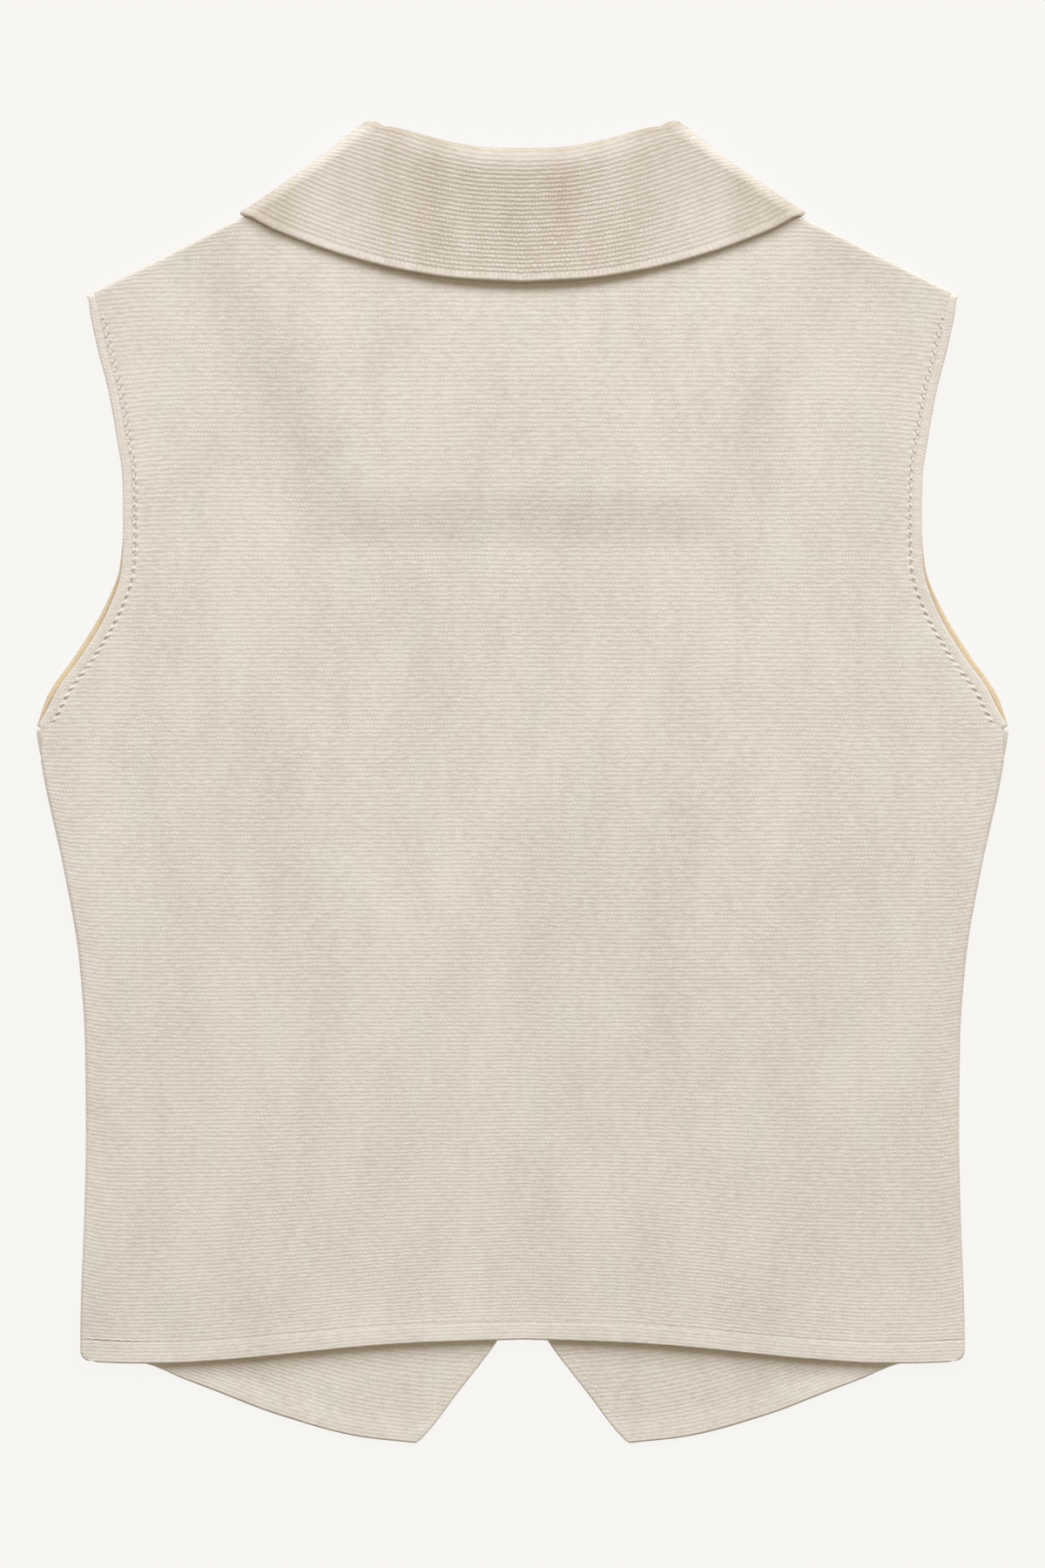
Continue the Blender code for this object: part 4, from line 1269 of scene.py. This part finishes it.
def tack(centre, way, up, length, thickness):
    """One short stitch: thick in its middle, with both ends drawn into the cloth."""
    steps = np.linspace(-1.0, 1.0, STITCH_STEPS)
    drop = up * STITCH_END_DROP * thickness
    path = [centre + way * s * length / 2.0 - drop * s ** 2 for s in steps]
    radii = thickness / 2.0 * np.sqrt(np.maximum(1.0 - steps ** 2, STITCH_END))
    return path, [up] * len(steps), radii


def armhole_tacks(sign, is_back):
    """The stitches beside one armhole binding, on the back or the front."""
    heights, run = armhole_run(is_back)
    threads = []
    up = np.array((0.0, 0.0, 1.0 if is_back else -1.0))
    for number, distance in enumerate(np.arange(STITCH_FROM, ARMHOLE_LENGTH, ARMHOLE_PITCH)):
        height = float(np.interp(distance, run, heights))
        outer = float(armhole_edge(height, is_back))
        inner = outer - binding_span(height, is_back) - 0.1
        step = float(armhole_edge(height + 1.0, is_back)) - outer
        way = np.array((step - STITCH_LEAN, 1.0, 0.0))
        way = way / np.linalg.norm(way)
        if is_back:
            level = float(back_top(np.array(inner), height)) + STITCH_RAISE
        else:
            level = float(front_base(np.array(inner), height)) + STITCH_THICKNESS / 2.0
            level += FRONT_STITCH_RAISE
        scale = 1.0 + STITCH_SPREAD * math.sin(number * STITCH_RHYTHM)
        centre = np.array((sign * inner, height, level))
        way = way * np.array((sign, 1.0, 1.0))
        threads.append(tack(centre, way, up, STITCH_LENGTH * scale, STITCH_THICKNESS * scale))
    return threads


def hem_thread(sign):
    """The cover stitch's looped thread, above one half of the back's hem."""
    end = float(rounded_side(BACK_HEM[0][1])) - HEM_THREAD_SHORT
    x = np.arange(0.0, end, HEM_LOOP / HEM_LOOP_STEPS)
    depth = hem_depth(x / end) + HEM_THREAD_ABOVE
    loop = np.sin(np.pi * x / HEM_LOOP) ** 2
    y = back_hem(x / end) + depth + HEM_LOOP_DEPTH * loop
    level = back_top(x, y) + HEM_PUFF * np.exp(-(depth / HEM_PUFF_REACH) ** 2)
    path = np.stack((sign * x, y, level - HEM_THREAD_SUNK + HEM_LOOP_RAISE * loop), axis=1)
    return path, [(0.0, 0.0, 1.0)] * len(x), np.full(len(x), HEM_THREAD / 2.0)


def opening_tacks(sign):
    """Tacks on a front point's inner face, beside the turned opening edge."""
    threads = []
    up = np.array((0.0, 0.0, 1.0))
    for height in np.arange(*TACK_HEIGHTS):
        edge = float(opening_edge(height))
        step = float(opening_edge(height + 1.0)) - edge
        length = math.hypot(step, 1.0)
        way = np.array((sign * step, 1.0, 0.0)) / length
        inward = np.array((sign, -step, 0.0)) / length
        centre = np.array((sign * edge, height, BODY_WALL)) + inward * TACK_INSET
        x, y = np.array(abs(centre[0])), centre[1]
        centre[2] += float(front_base(x, y) + point_rise(x, y, TACK_ABOVE_HEM))
        threads.append(tack(centre, way, up, TACK_LENGTH, TACK_THICKNESS))
    return threads


sewing_thread = thread_finish()
for side, sign in (("left", -1.0), ("right", 1.0)):
    both_faces = armhole_tacks(sign, True) + armhole_tacks(sign, False)
    make_sewing("armhole_stitches_" + side, both_faces, sewing_thread)
    make_sewing("opening_tacks_" + side, opening_tacks(sign), sewing_thread)
make_sewing("hem_stitches", [hem_thread(-1.0), hem_thread(1.0)], sewing_thread)


# ---------------------------------------------------------------------------
# The zip: two woven cotton tapes, sewn inside the opening edges, with a row of
# metal teeth clamped to each. The slider, its pull tab, the stops and the box
# are small castings in the same brushed metal.
# ---------------------------------------------------------------------------

TAPE_TOP = 199.4
TAPE_FOOT = -226.3
TAPE_INNER = 2.5
TAPE_BESIDE_SLIDER = 3.9
TAPE_OUTER = 15.0
TAPE_WALL = 0.6
TAPE_STEP = 2.0
TAPE_JOG = 0.2
TAPE_CORD = 0.25
TAPE_CORD_INSET = 0.8
TAPE_CORD_WIDTH = 0.6
TAPE_INSETS = (0.0, 0.3, 0.8, 1.3, 1.8)
SLIDER_FOOT = 186.5
SLIDER_CLEARANCE = 0.5
TOOTH_PITCH = 1.3
TOOTH_ROOT = 0.6
TOOTH_FIRST = 0.8
TOOTH_CLEARANCE = 1.0
CHAIN_BASE = 0.7
WEAVE_ZIGZAG = 1.6
WEAVE_PITCH = 0.8
TAPE_CREAM = (0.66, 0.6, 0.5, 1.0)
TAPE_SHADE = (0.5, 0.44, 0.34, 1.0)
METAL = (0.62, 0.58, 0.5, 1.0)
METAL_DARK = (0.42, 0.37, 0.29, 1.0)
TOOTH = (
    # across, along
    (0.0, -0.42), (1.7, -0.5), (2.15, -0.3), (2.15, 0.3), (1.7, 0.5), (0.0, 0.42), (-0.75, 0.26),
    (-0.75, -0.26),
)
TOOTH_LEVELS = (
    # height, share of the outline
    (0.0, 0.85), (0.3, 1.0), (1.7, 1.0), (2.0, 0.85),
)


def tape_finish():
    """Fine herringbone weave in cream cotton."""
    material, tree, shader = new_finish("zip_tape_weave", 0.85, 0.2)
    maths = maths_in(tree)
    place = tree.nodes.new("ShaderNodeTexCoord").outputs["Object"]
    x, y = tie(tree, "ShaderNodeSeparateXYZ", place).outputs[:2]
    zigzag = maths("PINGPONG", x, WEAVE_ZIGZAG * MM)
    phase = maths("MULTIPLY", maths("ADD", y, zigzag), 2.0 * math.pi / (WEAVE_PITCH * MM))
    rib = maths("SINE", phase)
    weave = maths("MULTIPLY_ADD", rib, 0.35, noise_on(tree, place, 900.0))
    raise_surface(tree, shader, weave, 0.08)
    # The weave's hollows are painted darker, as the shade in them; the noise darkens it at random.
    share = tie(tree, "ShaderNodeClamp", weave).outputs[0]
    colour = mix_colours(tree, share, TAPE_SHADE, TAPE_CREAM)
    tree.links.new(colour, shader.inputs["Base Color"])
    return material


def metal_finish():
    """Brushed antique metal, a little darker and duller in patches."""
    material, tree, shader = new_finish("zip_metal", 0.5, 0.5)
    shader.inputs["Metallic"].default_value = 1.0
    place = tree.nodes.new("ShaderNodeTexCoord").outputs["Object"]
    patches = noise_on(tree, place, 400.0)
    dull = tie(tree, "ShaderNodeMapRange", patches, 0.3, 0.7, 0.28, 0.5)
    tree.links.new(dull.outputs["Result"], shader.inputs["Roughness"])
    brushed = stretch(tree, place, (1.0, 0.08, 1.0))
    raise_surface(tree, shader, noise_on(tree, brushed, 5000.0), 0.01)
    colour = mix_colours(tree, patches, METAL, METAL_DARK)
    tree.links.new(colour, shader.inputs["Base Color"])
    return material


def make_tape(side, sign, material):
    """One zip tape: a thin woven strip with a corded inner edge."""
    heights = np.arange(TAPE_FOOT, TAPE_TOP, TAPE_STEP)
    narrows = SLIDER_FOOT - SLIDER_CLEARANCE
    heights = np.append(heights, (narrows - TAPE_JOG, narrows + TAPE_JOG, TAPE_TOP))
    heights = np.sort(heights)
    inner = np.where(heights < narrows, TAPE_INNER, TAPE_BESIDE_SLIDER)
    x = spread_row(inner, np.full(len(heights), TAPE_OUTER), 3, TAPE_INSETS, TAPE_INSETS[:2])
    y = heights[:, None] + 0.0 * x
    level = lift(0.0 * x, y) + BODY_WALL + SEAM_GAP + TAPE_WALL
    cord = np.exp(-((x - inner[:, None] - TAPE_CORD_INSET) / TAPE_CORD_WIDTH) ** 2)
    face = np.stack((sign * x, y, level), axis=2)
    row = np.arange(len(heights))
    still = 0.0 * x
    relief = -TAPE_CORD * cord
    wall = knit_wall(face, TAPE_WALL, relief, (), still, still, still, sign < 0.0, row)
    tape = make_knit("zip_tape_" + side + "_weave", [wall], [material])
    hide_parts("zip_tape_" + side)


def make_teeth(material):
    """Both rows of teeth, closed: small castings, drawn in a little at both faces."""
    points, faces = [], []
    sides, size = ring_faces(len(TOOTH_LEVELS), len(TOOTH)), len(TOOTH)
    heights = np.arange(TAPE_FOOT + TOOTH_FIRST, SLIDER_FOOT - TOOTH_CLEARANCE, TOOTH_PITCH)
    for number, height in enumerate(heights):
        sign = 1 if number % 2 else -1
        base = float(lift(np.array(0.0), height)) + CHAIN_BASE
        start = len(points)
        for level, share in TOOTH_LEVELS:
            for across, along in TOOTH:
                x = sign * (TOOTH_ROOT + (across - TOOTH_ROOT) * share)
                points.append((x, height + along * share, base + level))
        faces += (start + sides[:, ::sign]).tolist()
        faces.append(list(range(start, start + size))[::-sign])
        faces.append(list(range(len(points) - size, len(points)))[::sign])
    teeth = make_piece("zip_teeth", points, faces, [material])
    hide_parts("zip_chain")


tape_weave = tape_finish()
metal = metal_finish()
make_tape("left", -1.0, tape_weave)
make_tape("right", 1.0, tape_weave)
make_teeth(metal)
for node in ("zip_slider", "zip_pull_tab", "zip_stop_left", "zip_stop_right", "zip_box"):
    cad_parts[node].material_slots[0].material = metal
